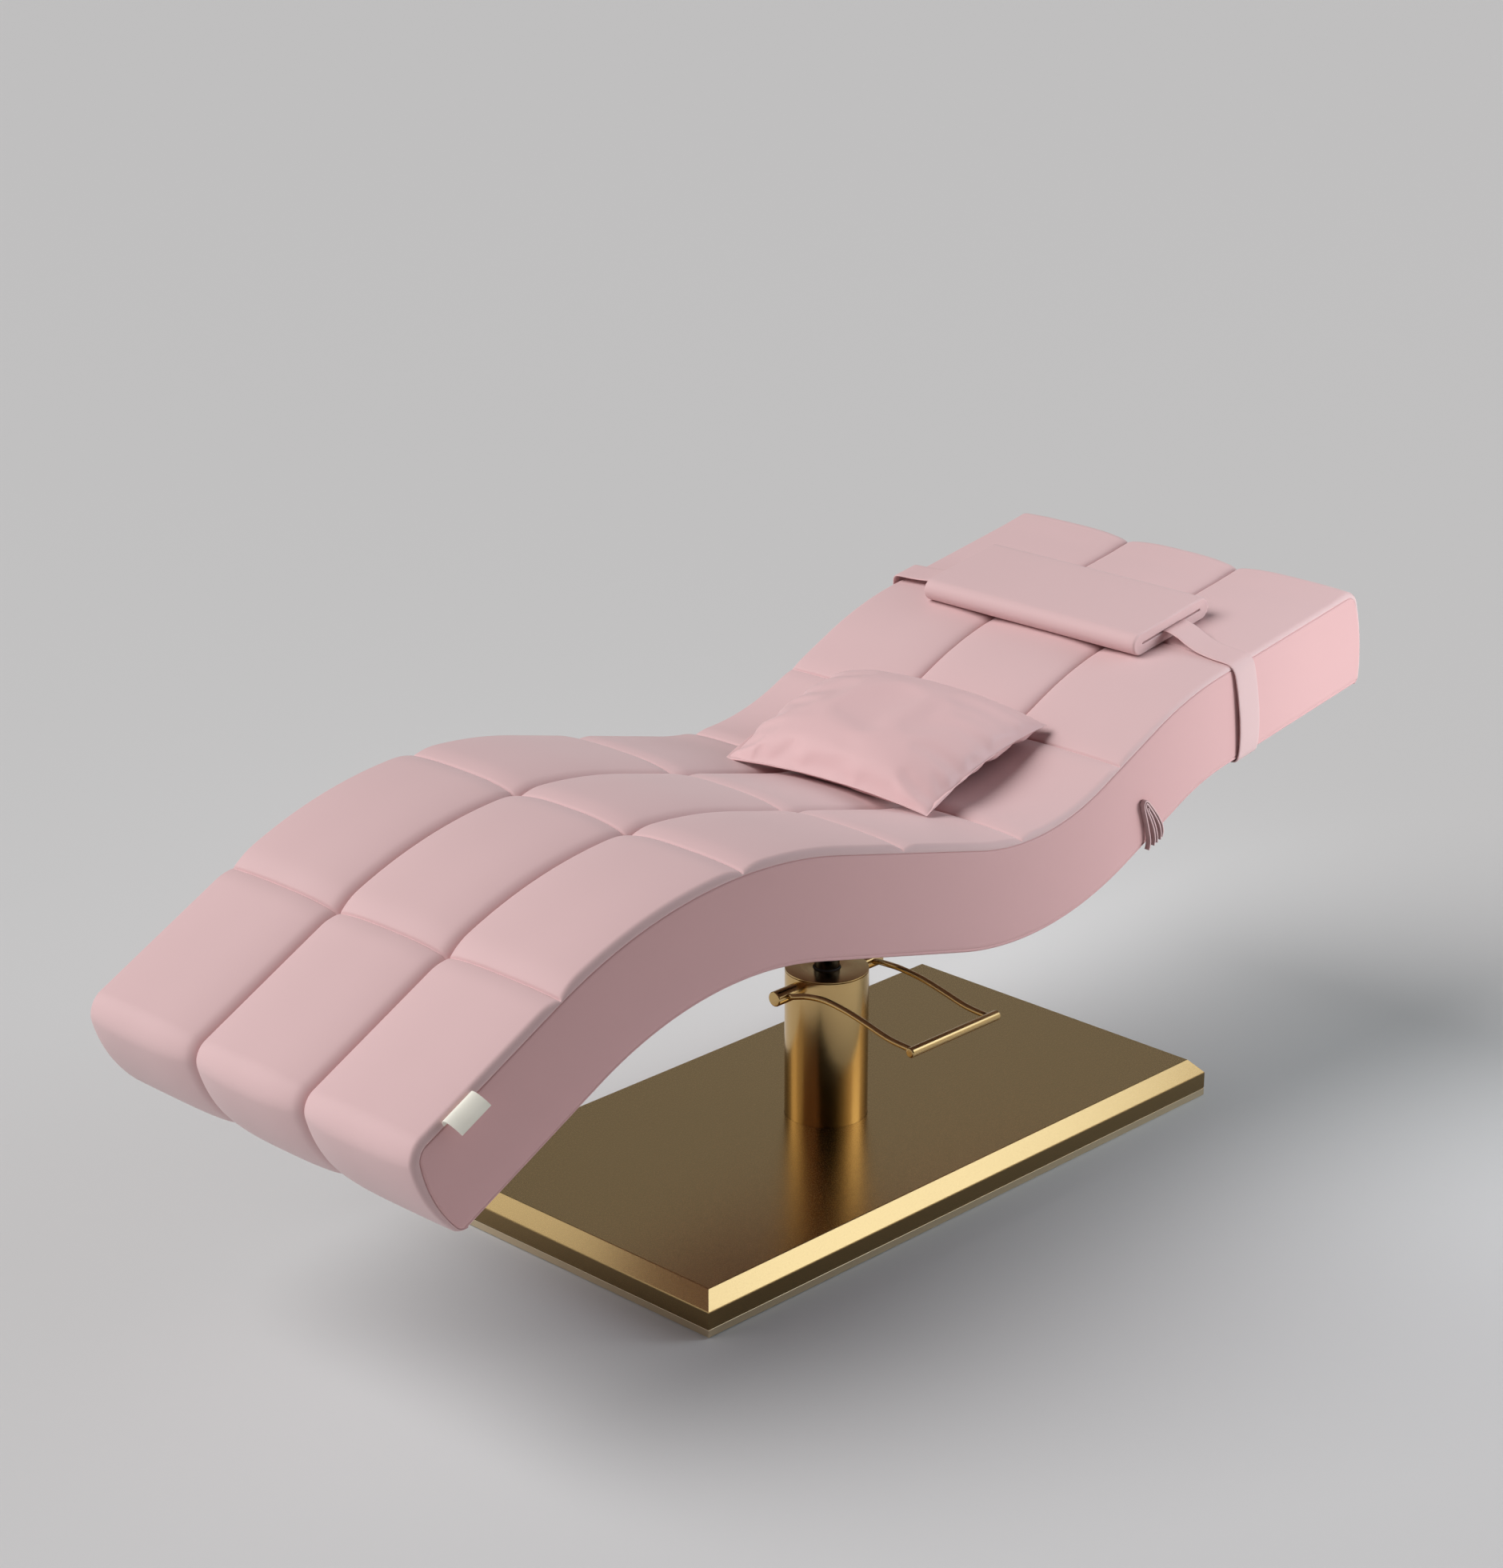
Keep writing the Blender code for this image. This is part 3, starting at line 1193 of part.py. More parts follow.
def pedal_shafts():
    """The two stubs that come out of the column's sides."""
    start = YOKE_RADIUS - YOKE_WIDTH / 2.0
    made = []
    for sign, name in ((-1.0, "pedal_shaft_foot_side"), (1.0, "pedal_shaft_head_side")):
        profile = [(0.0, start), (PEDAL_SHAFT_RADIUS, start),
                   (PEDAL_SHAFT_RADIUS, PEDAL_SHAFT_REACH - PEDAL_SHAFT_BEVEL),
                   (PEDAL_SHAFT_RADIUS - PEDAL_SHAFT_BEVEL, PEDAL_SHAFT_REACH), (0.0, PEDAL_SHAFT_REACH)]
        profile = [(radius, sign * height) for radius, height in profile]
        shape = shifted(along_x(turned_shape(profile, ROUND_SIDES)), *pedal_axis_place())
        made.append(add_object(name, shape, "gold_satin", origin=pedal_axis_place()))
    return made


def pedal_yoke():
    """A half ring round the ram's front, with a nose that presses the plunger."""
    centre = pedal_axis_place()
    inner = YOKE_RADIUS - YOKE_WIDTH / 2.0
    outer = YOKE_RADIUS + YOKE_WIDTH / 2.0
    half = YOKE_HEIGHT / 2.0
    start = math.asin((PEDAL_SHAFT_RADIUS + GAP) / inner)
    steps = 16
    rings = []
    for step in range(steps + 1):
        angle = math.pi + start + (math.pi - 2.0 * start) * step / steps
        across = Vector((math.cos(angle), math.sin(angle), 0.0))
        up = Vector((0.0, 0.0, half))
        rings.append([centre + across * inner - up, centre + across * outer - up,
                      centre + across * outer + up, centre + across * inner + up])
    ring = add_object("pedal_yoke", loft_shape(rings), "steel", origin=centre)
    nose = [(0.0, -NOSE_WIDTH / 2.0), (NOSE_RADIUS, -NOSE_WIDTH / 2.0), (NOSE_RADIUS, NOSE_WIDTH / 2.0),
            (0.0, NOSE_WIDTH / 2.0)]
    x, y = plunger_place()
    shape = shifted(along_x(turned_shape(nose, SMALL_SIDES)), x, y, centre.z - NOSE_DROP)
    tool = add_object("pedal_yoke_nose", shape, "steel", smooth=False)
    tool.hide_render = True
    tool.display_type = "WIRE"
    union = ring.modifiers.new("nose", "BOOLEAN")
    union.operation = "UNION"
    union.solver = "EXACT"
    union.object = tool
    return ring


def pedal_arm_points(sign):
    """Centre line of a pedal arm: a shallow S from the shaft to the foot bar."""
    axis = pedal_axis_place()
    start = PEDAL_SHAFT_RADIUS + GAP
    end = PEDAL_REACH - FOOT_BAR_RADIUS - GAP
    knots = []
    for share, rise, dip, flare in ARM_GUIDE_SHARES:
        x = sign * (PEDAL_ARM_OFFSET + flare * PEDAL_ARM_FLARE)
        y = axis.y - start - share * (end - start)
        knots.append(Vector((x, y, axis.z + rise * PEDAL_RISE - dip * PEDAL_DIP)))
    return smooth_line(knots, 4)


def smooth_line(knots, steps):
    """Points of a Catmull-Rom curve through the knots."""
    padded = [knots[0] * 2.0 - knots[1]] + knots + [knots[-1] * 2.0 - knots[-2]]
    points = []
    for index in range(1, len(padded) - 2):
        before, here, there, after = padded[index - 1:index + 3]
        for step in range(steps):
            t = step / steps
            points.append(0.5 * (here * 2.0 + (there - before) * t
                                 + (before * 2.0 - here * 5.0 + there * 4.0 - after) * t * t
                                 + (here * 3.0 - before - there * 3.0 + after) * t * t * t))
    points.append(knots[-1])
    return points


def pedal_arms():
    made = []
    for sign, name in ((-1.0, "pedal_arm_foot_side"), (1.0, "pedal_arm_head_side")):
        points = pedal_arm_points(sign)
        made.append(tube_along(name, points, PEDAL_ARM_RADIUS, 3, "gold_satin", origin=pedal_axis_place()))
    return made


def foot_bar():
    half = FOOT_BAR_LENGTH / 2.0
    profile = bevelled_rod_profile(FOOT_BAR_RADIUS, -half, half, FOOT_BAR_BEVEL)
    shape = shifted(along_x(turned_shape(profile, ROUND_SIDES)), 0.0, -PEDAL_REACH, SHAFT_HEIGHT - PEDAL_DROP)
    return add_object("foot_bar", shape, "gold_satin", origin=pedal_axis_place())


def bearing_blocks():
    """Blocks on the pump head that carry the two pedal shafts."""
    near = YOKE_RADIUS + YOKE_WIDTH / 2.0 + BLOCK_CLEARANCE
    far = near + BLOCK_THICKNESS
    half = BLOCK_WIDTH / 2.0
    for low, high, name in ((-far, -near, "shaft_block_foot_side"), (near, far, "shaft_block_head_side")):
        shape = box_shape((low, -half, PUMP_HEAD_TOP + GAP), (high, half, SHAFT_HEIGHT + BLOCK_CROWN))
        block = add_object(name, shape, "black_steel", smooth=False)
        hole = rod_profile(PEDAL_SHAFT_RADIUS + RUN_GAP, low - OVERRUN, high + OVERRUN)
        cut(block, shifted(along_x(turned_shape(hole, ROUND_SIDES)), 0.0, 0.0, SHAFT_HEIGHT), "bore")


def head_frame():
    """Middle of the head pad on the seam line, with the head section's directions."""
    return seam_frame(PAD_STATION)


def pad_height():
    """From the seam line to the middle of the pad."""
    return PAD_LIFT + PAD_THICKNESS / 2.0


def stadium(half_length, radius, steps):
    """Outline of a bar with round ends, as (along, up) points."""
    points = []
    for end in (1.0, -1.0):
        for step in range(steps + 1):
            angle = math.pi * step / steps - math.pi / 2.0
            along = end * (half_length - radius + radius * math.cos(angle))
            points.append((along, end * radius * math.sin(angle)))
    return points


def head_pad():
    """The flat pad with round long edges and a slot for its strap."""
    place, tangent, normal = head_frame()
    steps = 8
    outer = stadium(PAD_WIDTH / 2.0, PAD_THICKNESS / 2.0, steps)
    inner = stadium(PAD_SLOT_LENGTH / 2.0, PAD_SLOT_HEIGHT / 2.0, steps)
    ends = (PAD_SIDE_SHIFT - PAD_LENGTH / 2.0, PAD_SIDE_SHIFT + PAD_LENGTH / 2.0)

    def ring(outline, y):
        points = []
        for along, up in outline:
            point = place + tangent * along + normal * (pad_height() + up)
            points.append(Vector((point.x, y, point.z)))
        return points
    shape = tube_ends_shape([ring(outer, y) for y in ends], [ring(inner, y) for y in ends])
    return add_object("head_pad", shape, "pink_leather", origin=place)


def rounded_path(corners, steps):
    """Replace each (y, up, radius) corner of a closed path by an arc."""
    points = []
    count = len(corners)
    for index, (y, up, radius) in enumerate(corners):
        here = Vector((y, up))
        before = Vector(corners[index - 1][:2]) - here
        after = Vector(corners[(index + 1) % count][:2]) - here
        if radius == 0.0:
            points.append(here)
            continue
        half = before.angle(after) / 2.0
        reach = radius / math.tan(half)
        start = here + before.normalized() * reach
        end = here + after.normalized() * reach
        centre = here + (before.normalized() + after.normalized()).normalized() * (radius / math.sin(half))
        first = start - centre
        second = end - centre
        for step in range(steps + 1):
            share = step / steps
            sweep = first.angle(second)
            blend = first * math.sin((1.0 - share) * sweep) + second * math.sin(share * sweep)
            points.append(centre + blend / math.sin(sweep))
    return points


def offset_loop(points, distance):
    """Move a closed path sideways by a distance, keeping its corners."""
    moved_points = []
    count = len(points)
    for index in range(count):
        before = (points[index] - points[index - 1]).normalized()
        after = (points[(index + 1) % count] - points[index]).normalized()
        normal = Vector((before.y + after.y, -before.x - after.x)).normalized()
        stretch = 1.0 / max(0.5, normal.dot(Vector((before.y, -before.x))))
        moved_points.append(points[index] + normal * distance * stretch)
    return moved_points


def strap_loop():
    """Centre line of the strap's closed loop, as (y, up) points over the seam line."""
    slot = pad_height()
    side = HALF_WIDTH + SIDE_BULGE + STRAP_CLEARANCE + STRAP_THICKNESS / 2.0
    low = -BED_DEPTH - STRAP_CLEARANCE - STRAP_THICKNESS / 2.0
    near_end = PAD_SIDE_SHIFT - PAD_LENGTH / 2.0
    far_end = PAD_SIDE_SHIFT + PAD_LENGTH / 2.0
    bend = STRAP_BEND_RADIUS
    tuck = STRAP_TUCK_RADIUS
    return rounded_path([(near_end, slot, 0.0), (far_end, slot, 0.0), (side, STRAP_EDGE_RISE, bend),
                         (side, low, tuck), (-side, low, tuck), (-side, STRAP_EDGE_RISE, bend)], 5)


def head_strap():
    place, tangent, normal = head_frame()
    loop = strap_loop()
    outer = offset_loop(loop, STRAP_THICKNESS / 2.0)
    inner = offset_loop(loop, -STRAP_THICKNESS / 2.0)

    def ring(path, along):
        points = []
        for y, up in path:
            point = place + tangent * along + normal * up
            points.append(Vector((point.x, y, point.z)))
        return points
    sides = (STRAP_SHIFT - STRAP_WIDTH / 2.0, STRAP_SHIFT + STRAP_WIDTH / 2.0)
    shape = tube_ends_shape([ring(outer, along) for along in sides], [ring(inner, along) for along in sides])
    return add_object("head_strap", shape, "pink_fabric", origin=place)


def strap_fastener():
    """The hook-and-loop patch that closes the strap under the bed."""
    place, tangent, normal = head_frame()
    top = -BED_DEPTH - STRAP_CLEARANCE - STRAP_THICKNESS - GAP
    half = STRAP_WIDTH / 2.0 - FASTENER_MARGIN
    rings = []
    for y in (-FASTENER_LENGTH / 2.0, FASTENER_LENGTH / 2.0):
        ring = []
        for along, up in ((-half, top), (half, top), (half, top - FASTENER_THICKNESS),
                          (-half, top - FASTENER_THICKNESS)):
            point = place + tangent * (STRAP_SHIFT + along) + normal * up
            ring.append(Vector((point.x, y, point.z)))
        rings.append(ring)
    return add_object("strap_fastener", loft_shape(rings), "pink_fabric", origin=place, smooth=False)


def keeper_outline(inset):
    """One arch of the folded band on the side panel, as (along, depth) points."""
    half = KEEPER_HALF_WIDTH - inset
    top = BED_DEPTH - KEEPER_HEIGHT + inset * KEEPER_TIP_RATIO
    low = BED_DEPTH + KEEPER_OVERHANG
    return [(along * half, top + down * (low - top)) for along, down in KEEPER_SHARES]


def folded_keeper():
    """A band folded in nested arches, one run from the outermost to the innermost."""
    line = []
    for fold in range(KEEPER_FOLDS):
        arch = keeper_outline(fold * KEEPER_PITCH + KEEPER_THICKNESS / 2.0)
        line.extend(arch if fold % 2 == 0 else reversed(arch))
    near = -HALF_WIDTH - SIDE_BULGE - GAP
    place, tangent, normal = seam_frame(KEEPER_STATION)
    rings = []
    for index, (along, depth) in enumerate(line):
        before = Vector(line[max(index - 1, 0)])
        after = Vector(line[min(index + 1, len(line) - 1)])
        run = (after - before).normalized() * (KEEPER_THICKNESS / 2.0)
        ring = []
        for side, y in ((-1, near), (1, near), (1, near - KEEPER_STANDOUT), (-1, near - KEEPER_STANDOUT)):
            point = place + tangent * (along - side * run.y) - normal * (depth + side * run.x)
            ring.append(Vector((point.x, y, point.z)))
        rings.append(ring)
    return add_object("folded_keeper", loft_shape(rings), "pink_fabric", smooth=False)


def side_tag():
    """A bare fabric tag that is sewn in under the seam and curls outwards."""
    place, tangent, normal = seam_frame(TAG_STATION)
    top = TAG_DROP
    steps = 6
    start = -HALF_WIDTH - BAND_THICKNESS - GAP
    rings = []
    for step in range(steps + 1):
        share = step / steps
        depth = top + share * TAG_HEIGHT
        y = start - TAG_STANDOUT * math.sin(share * math.pi / 2.0)
        ring = []
        for along, layer in ((-0.5, 0.0), (0.5, 0.0), (0.5, 1.0), (-0.5, 1.0)):
            point = place + tangent * (along * TAG_WIDTH) - normal * depth
            ring.append(Vector((point.x, y - layer * TAG_THICKNESS, point.z)))
        rings.append(ring)
    return add_object("side_tag", loft_shape(rings), "cream_fabric")


def pillow_shape():
    """A pillow with a crown above and below, pinched edges and pointed corners."""
    verts = []
    index = {}
    for layer, height in ((1, PILLOW_TOP_HEIGHT), (0, -PILLOW_BELLY)):
        for row in range(PILLOW_STEPS + 1):
            for column in range(PILLOW_STEPS + 1):
                u = math.sin((column / PILLOW_STEPS - 0.5) * math.pi)
                v = math.sin((row / PILLOW_STEPS - 0.5) * math.pi)
                x = u * (PILLOW_WIDTH / 2.0 - PILLOW_DRAW_IN * (1.0 - v * v))
                y = v * (PILLOW_LENGTH / 2.0 - PILLOW_DRAW_IN * (1.0 - u * u))
                swell = ((1.0 - u * u) * (1.0 - v * v)) ** PILLOW_FULLNESS
                edge = PILLOW_EDGE if layer else -PILLOW_EDGE
                index[layer, row, column] = len(verts)
                verts.append(Vector((x, y, edge + height * swell)))
    faces = []
    for layer in (0, 1):
        for row in range(PILLOW_STEPS):
            for column in range(PILLOW_STEPS):
                faces.append((index[layer, row, column], index[layer, row, column + 1],
                              index[layer, row + 1, column + 1], index[layer, row + 1, column]))
    rim = [(0, column) for column in range(PILLOW_STEPS)]
    rim += [(row, PILLOW_STEPS) for row in range(PILLOW_STEPS)]
    rim += [(PILLOW_STEPS, column) for column in range(PILLOW_STEPS, 0, -1)]
    rim += [(row, 0) for row in range(PILLOW_STEPS, 0, -1)]
    for here, there in zip(rim, rim[1:] + rim[:1]):
        faces.append((index[0, *here], index[0, *there], index[1, *there], index[1, *here]))
    return verts, faces


def free_drop(shape, ground):
    """How far a shape can fall before it meets the ground object."""
    verts, faces = shape
    ground_mesh = ground.data
    ground_points = [ground.matrix_world @ vertex.co for vertex in ground_mesh.vertices]
    ground_tree = BVHTree.FromPolygons(ground_points, [tuple(face.vertices) for face in ground_mesh.polygons])
    shape_tree = BVHTree.FromPolygons(verts, faces)
    falls = []
    for point in verts:
        hit = ground_tree.ray_cast(point, Vector((0.0, 0.0, -1.0)))
        if hit[0]:
            falls.append(hit[3])
    for point in ground_points:
        hit = shape_tree.ray_cast(point, Vector((0.0, 0.0, 1.0)))
        if hit[0]:
            falls.append(hit[3])
    return min(falls)


def pillow(ground):
    """The loose pillow, let down onto the quilted cover."""
    turn = Matrix.Rotation(PILLOW_YAW, 4, "Z") @ Matrix.Rotation(PILLOW_PITCH, 4, "Y")
    high = SEAM_HEIGHT + PILLOW_START_HEIGHT
    shape = moved(pillow_shape(), Matrix.Translation((PILLOW_X, PILLOW_Y, high)) @ turn)
    drop = free_drop(shape, ground) - GAP
    shape = shifted(shape, 0.0, 0.0, -drop)
    return add_object("pillow", shape, "pink_leather", origin=(PILLOW_X, PILLOW_Y, high - drop))


def build_base():
    base_mat()
    base_plate()
    base_cover()
    pump_flange()
    flange_bolts()
    column_tube()
    column_cap()
    rod_wiper()
    pump_body()
    plunger_barrel()
    bearing_blocks()


def build_pump_motion():
    hang_on(add_axis("lift_axis", (0.0, 0.0, COLUMN_TOP)), ram() + swivel_retainer())
    pedal = pedal_shafts() + [pedal_yoke()] + pedal_arms() + [foot_bar()]
    hang_on(add_axis("pedal_axis", pedal_axis_place()), pedal)
    pump_plunger()
    return_spring()
    release_valve()


def build_bed():
    cover = top_cover()
    pieces = [cover, side_cover("side_cover_near", -1.0), side_cover("side_cover_far", 1.0),
              bottom_panel(), foam_core(), deck_board(),
              side_apron("side_apron_near", -1.0), side_apron("side_apron_far", 1.0),
              end_board("end_board_foot", CORE_START, CORE_START + END_BOARD_THICKNESS),
              end_board("end_board_head", CORE_END - END_BOARD_THICKNESS, CORE_END),
              side_rail("side_rail_near", -1.0), side_rail("side_rail_far", 1.0),
              mount_beam("mount_beam_foot_side", -1.0), mount_beam("mount_beam_head_side", 1.0)]
    pieces += [cross_tube("cross_tube_" + name, share) for name, share in CROSS_TUBE_SHARES]
    pieces += [mount_plate(), swivel_hub(), hub_bush(), thrust_washer(), folded_keeper(), side_tag()]
    hang_on(add_axis("swivel_axis", (0.0, 0.0, RAM_SHOULDER)), pieces)
    pieces = [head_pad(), head_strap(), strap_fastener()]
    hang_on(add_axis("head_pad_axis", head_frame()[0]), pieces)
    pillow(cover)


def main():
    clear_scene()
    build_base()
    build_pump_motion()
    build_bed()


main()
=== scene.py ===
# %% [markdown]
# # A wave-shaped beauty bed
# A pink upholstered lounger stands on a gold hydraulic column with a flat gold base.
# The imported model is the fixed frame. It knows where every piece sits, and this script
# gives the pieces their looks: stitched upholstery, a pillow, straps and satin metal.

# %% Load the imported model
import math

import bmesh
import bpy
import numpy as np
from mathutils import Matrix, Vector


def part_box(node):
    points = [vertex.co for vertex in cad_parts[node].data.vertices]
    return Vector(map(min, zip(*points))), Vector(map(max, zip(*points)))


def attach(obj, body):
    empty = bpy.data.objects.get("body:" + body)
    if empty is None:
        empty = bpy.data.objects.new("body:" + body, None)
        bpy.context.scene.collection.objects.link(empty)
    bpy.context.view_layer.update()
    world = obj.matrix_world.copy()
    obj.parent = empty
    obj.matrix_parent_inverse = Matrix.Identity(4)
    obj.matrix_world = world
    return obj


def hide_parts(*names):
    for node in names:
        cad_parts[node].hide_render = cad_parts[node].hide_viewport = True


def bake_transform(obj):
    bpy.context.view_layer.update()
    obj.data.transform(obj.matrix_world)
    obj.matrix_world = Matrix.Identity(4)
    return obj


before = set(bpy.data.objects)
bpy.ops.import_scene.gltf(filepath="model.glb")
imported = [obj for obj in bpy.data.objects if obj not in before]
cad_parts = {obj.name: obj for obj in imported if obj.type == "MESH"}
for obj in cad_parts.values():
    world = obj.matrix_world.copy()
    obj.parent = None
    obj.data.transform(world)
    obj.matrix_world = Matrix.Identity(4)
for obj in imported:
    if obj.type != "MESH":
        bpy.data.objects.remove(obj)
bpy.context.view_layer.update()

print("nodes in the frame:", len(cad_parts))

# %% [markdown]
# ## Camera
# The photograph was taken from the foot end's near side, a little above the bed, with a
# long lens. The place and the tilt were worked out from the straight edges of the base,
# and a long lens keeps them nearly parallel.

# %% Camera
camera_data = bpy.data.cameras.new("camera")
camera_data.lens = 83.287
camera_data.sensor_width = 36.0
camera_data.clip_end = 200.0
camera = bpy.data.objects.new("camera", camera_data)
camera.location = (-3.45132, -3.20784, 2.26106)
camera.rotation_euler = (math.radians(70.084), 0.0, math.radians(-45.804))
bpy.context.scene.collection.objects.link(camera)
bpy.context.scene.camera = camera
print("camera height over the floor: %.2f m" % camera.location.z)

# %% [markdown]
# ## Helpers for meshes
# Every soft piece here is a grid of points worked out by a formula. A grid can be open,
# closed round one way like a tube, or closed both ways like a ring. Building the faces
# from numbered rows keeps that in one place, and welding equal points afterwards closes
# the seams and poles.


# %% Grids and pieces
WELD = 1e-6


def grid_faces(rows, columns, close_rows=False, close_columns=False):
    """Quads between neighbouring points of a grid that is numbered row by row."""
    row = np.arange(rows if close_rows else rows - 1)
    column = np.arange(columns if close_columns else columns - 1)
    row, column = np.meshgrid(row, column, indexing="ij")
    next_row = (row + 1) % rows
    next_column = (column + 1) % columns
    corners = (row * columns + column, row * columns + next_column,
               next_row * columns + next_column, next_row * columns + column)
    return np.stack(corners, -1).reshape(-1, 4)


def sheet_faces(rows, columns):
    """Faces of two equal grids that lie back to back."""
    faces = grid_faces(rows, columns)
    return np.concatenate([faces, faces[:, ::-1] + rows * columns])


def shade_smooth(mesh, sharp=None):
    """Smooth shading, apart from edges that turn by more than `sharp` degrees."""
    mesh.polygons.foreach_set("use_smooth", np.ones(len(mesh.polygons), bool))
    if sharp is not None:
        mesh.set_sharp_from_angle(angle=math.radians(sharp))


def make_mesh(name, points, faces, sharp=None):
    """A closed mesh from points and faces: equal points welded, faces turned outwards."""
    mesh = bpy.data.meshes.new(name)
    faces = faces.tolist() if isinstance(faces, np.ndarray) else faces
    mesh.from_pydata(np.asarray(points, float).reshape(-1, 3).tolist(), [], faces)
    work = bmesh.new()
    work.from_mesh(mesh)
    bmesh.ops.remove_doubles(work, verts=work.verts, dist=WELD)
    bmesh.ops.recalc_face_normals(work, faces=work.faces)
    work.to_mesh(mesh)
    work.free()
    shade_smooth(mesh, sharp)
    return mesh


def ring_mesh(name, *tubes, ends="capped", sharp=None):
    """A mesh from tubes, each a stack of rings of points.

    Both ends of a tube are "capped" with a face, "joined" to each other or left "open".
    """
    faces = []
    total = 0
    for tube in tubes:
        rows, columns = tube.shape[:2]
        numbers = total + np.arange(rows * columns).reshape(rows, columns)
        faces += (total + grid_faces(rows, columns, ends == "joined", True)).tolist()
        faces += numbers[[0, -1]].tolist() if ends == "capped" else []
        total += rows * columns
    points = np.concatenate([tube.reshape(-1, 3) for tube in tubes])
    return make_mesh(name, points, faces, sharp)


def put_in_scene(name, data):
    made = bpy.data.objects.new(name, data)
    bpy.context.scene.collection.objects.link(made)
    return made


def add_piece(name, mesh, finish, body, stands_for):
    """Put a mesh in the scene, riding on a body and standing for CAD nodes."""
    piece = put_in_scene(name, mesh)
    mesh.materials.clear()
    mesh.materials.append(finish)
    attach(piece, body)
    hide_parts(*stands_for)
    print("%-22s %6d faces on %s" % (name, len(mesh.polygons), body))
    return piece


# %% Profiles, curves and tubes
def turned(profile, sides):
    """Points of a (radius, height) profile turned about Z, one row for each point."""
    profile = np.asarray(profile, float)
    angle = np.linspace(0.0, 2.0 * math.pi, sides, endpoint=False)
    x = profile[:, :1] * np.cos(angle)
    y = profile[:, :1] * np.sin(angle)
    return np.stack([x, y, np.broadcast_to(profile[:, 1:], x.shape)], -1)


def rounded(profile, radius, steps=5):
    """A profile whose inner corners are rounded: each becomes a short quadratic curve."""
    profile = np.asarray(profile, float)
    made = [profile[:1]]
    for before, corner, after in zip(profile[:-2], profile[1:-1], profile[2:]):
        back = before - corner
        ahead = after - corner
        reach = min(radius, 0.45 * np.linalg.norm(back), 0.45 * np.linalg.norm(ahead))
        start = corner + back / np.linalg.norm(back) * reach
        end = corner + ahead / np.linalg.norm(ahead) * reach
        t = np.linspace(0.0, 1.0, steps)[:, None]
        made.append((1 - t) ** 2 * start + 2 * t * (1 - t) * corner + t ** 2 * end)
    made.append(profile[-1:])
    return np.concatenate(made)


def smooth_curve(knots, steps, closed=False):
    """Points of a Catmull-Rom curve through the knots.

    From b to c, with a before and d after them, it runs along
    (2b + (c - a)t + (2a - 5b + 4c - d)t^2 + (3b - a - 3c + d)t^3) / 2 for t from 0 to 1.
    """
    knots = np.asarray(knots, float)
    if closed:
        path = knots[np.arange(-1, len(knots) + 2) % len(knots)]
    else:
        path = np.concatenate([[2 * knots[0] - knots[1]], knots, [2 * knots[-1] - knots[-2]]])
    t = np.linspace(0.0, 1.0, steps, endpoint=False)[:, None]
    parts = [0.5 * (2 * b + (c - a) * t + (2 * a - 5 * b + 4 * c - d) * t ** 2
                    + (3 * b - a - 3 * c + d) * t ** 3)
             for a, b, c, d in zip(path, path[1:], path[2:], path[3:])]
    return np.concatenate(parts if closed else parts + [knots[-1:]])


def oval(count, power_across=1.0, power_up=1.0):
    """Points round a superellipse of half size 1: cos and sin of the angle, each to a power."""
    angle = np.linspace(0.0, 2.0 * math.pi, count, endpoint=False)
    parts = ((np.cos(angle), power_across), (np.sin(angle), power_up))
    return np.stack([np.sign(part) * np.abs(part) ** power for part, power in parts], -1)


def tube_points(path, section, side_axis):
    """Carry a section along a path: its first axis across the path, its second on side_axis."""
    ahead = np.gradient(path, axis=0)
    ahead /= np.linalg.norm(ahead, axis=1)[:, None]
    side_axis = np.asarray(side_axis, float)
    across = np.cross(ahead, side_axis)
    across /= np.linalg.norm(across, axis=1)[:, None]
    return path[:, None] + across[:, None] * section[None, :, :1] + side_axis * section[None, :, 1:]


# %% [markdown]
# ## Helpers for finishes
# A finish is a Principled shader fed by a few procedural textures in object coordinates.
# Effects that several finishes share, such as leather grain or the fine speckle of satin
# metal, are node groups with named inputs, so that each finish sets its own values.


# %% Node helpers
def feed(tree, node, inputs):
    """Set a node's inputs. Each takes a plain value or the output of another node."""
    for key, value in inputs.items():
        if isinstance(value, bpy.types.NodeSocket):
            tree.links.new(value, node.inputs[key])
        else:
            node.inputs[key].default_value = value


def add_node(tree, kind, inputs, **settings):
    """A new node with its settings and its inputs given by name."""
    made = tree.nodes.new(kind)
    for key, value in settings.items():
        setattr(made, key, value)
    feed(tree, made, inputs)
    return made


def calculate(tree, operation, *values):
    """The output of a Math node."""
    made = add_node(tree, "ShaderNodeMath", dict(enumerate(values)), operation=operation)
    return made.outputs[0]


def scaled(tree, vector, factor):
    """A colour or a place times a number."""
    made = add_node(tree, "ShaderNodeVectorMath", {0: vector, "Scale": factor}, operation="SCALE")
    return made.outputs[0]


def coordinate(tree, kind):
    return tree.nodes.new("ShaderNodeTexCoord").outputs[kind]


def new_group(name, inputs, outputs):
    """An empty shader group: its tree, the sockets that it is given and its output node."""
    tree = bpy.data.node_groups.new(name, "ShaderNodeTree")
    for label, value in inputs.items():
        kind = "NodeSocketColor" if isinstance(value, tuple) else "NodeSocketFloat"
        socket = tree.interface.new_socket(name=label, in_out="INPUT", socket_type=kind)
        socket.default_value = value
    for label, kind in outputs.items():
        tree.interface.new_socket(name=label, in_out="OUTPUT", socket_type=kind)
    return tree, tree.nodes.new("NodeGroupInput").outputs, tree.nodes.new("NodeGroupOutput")


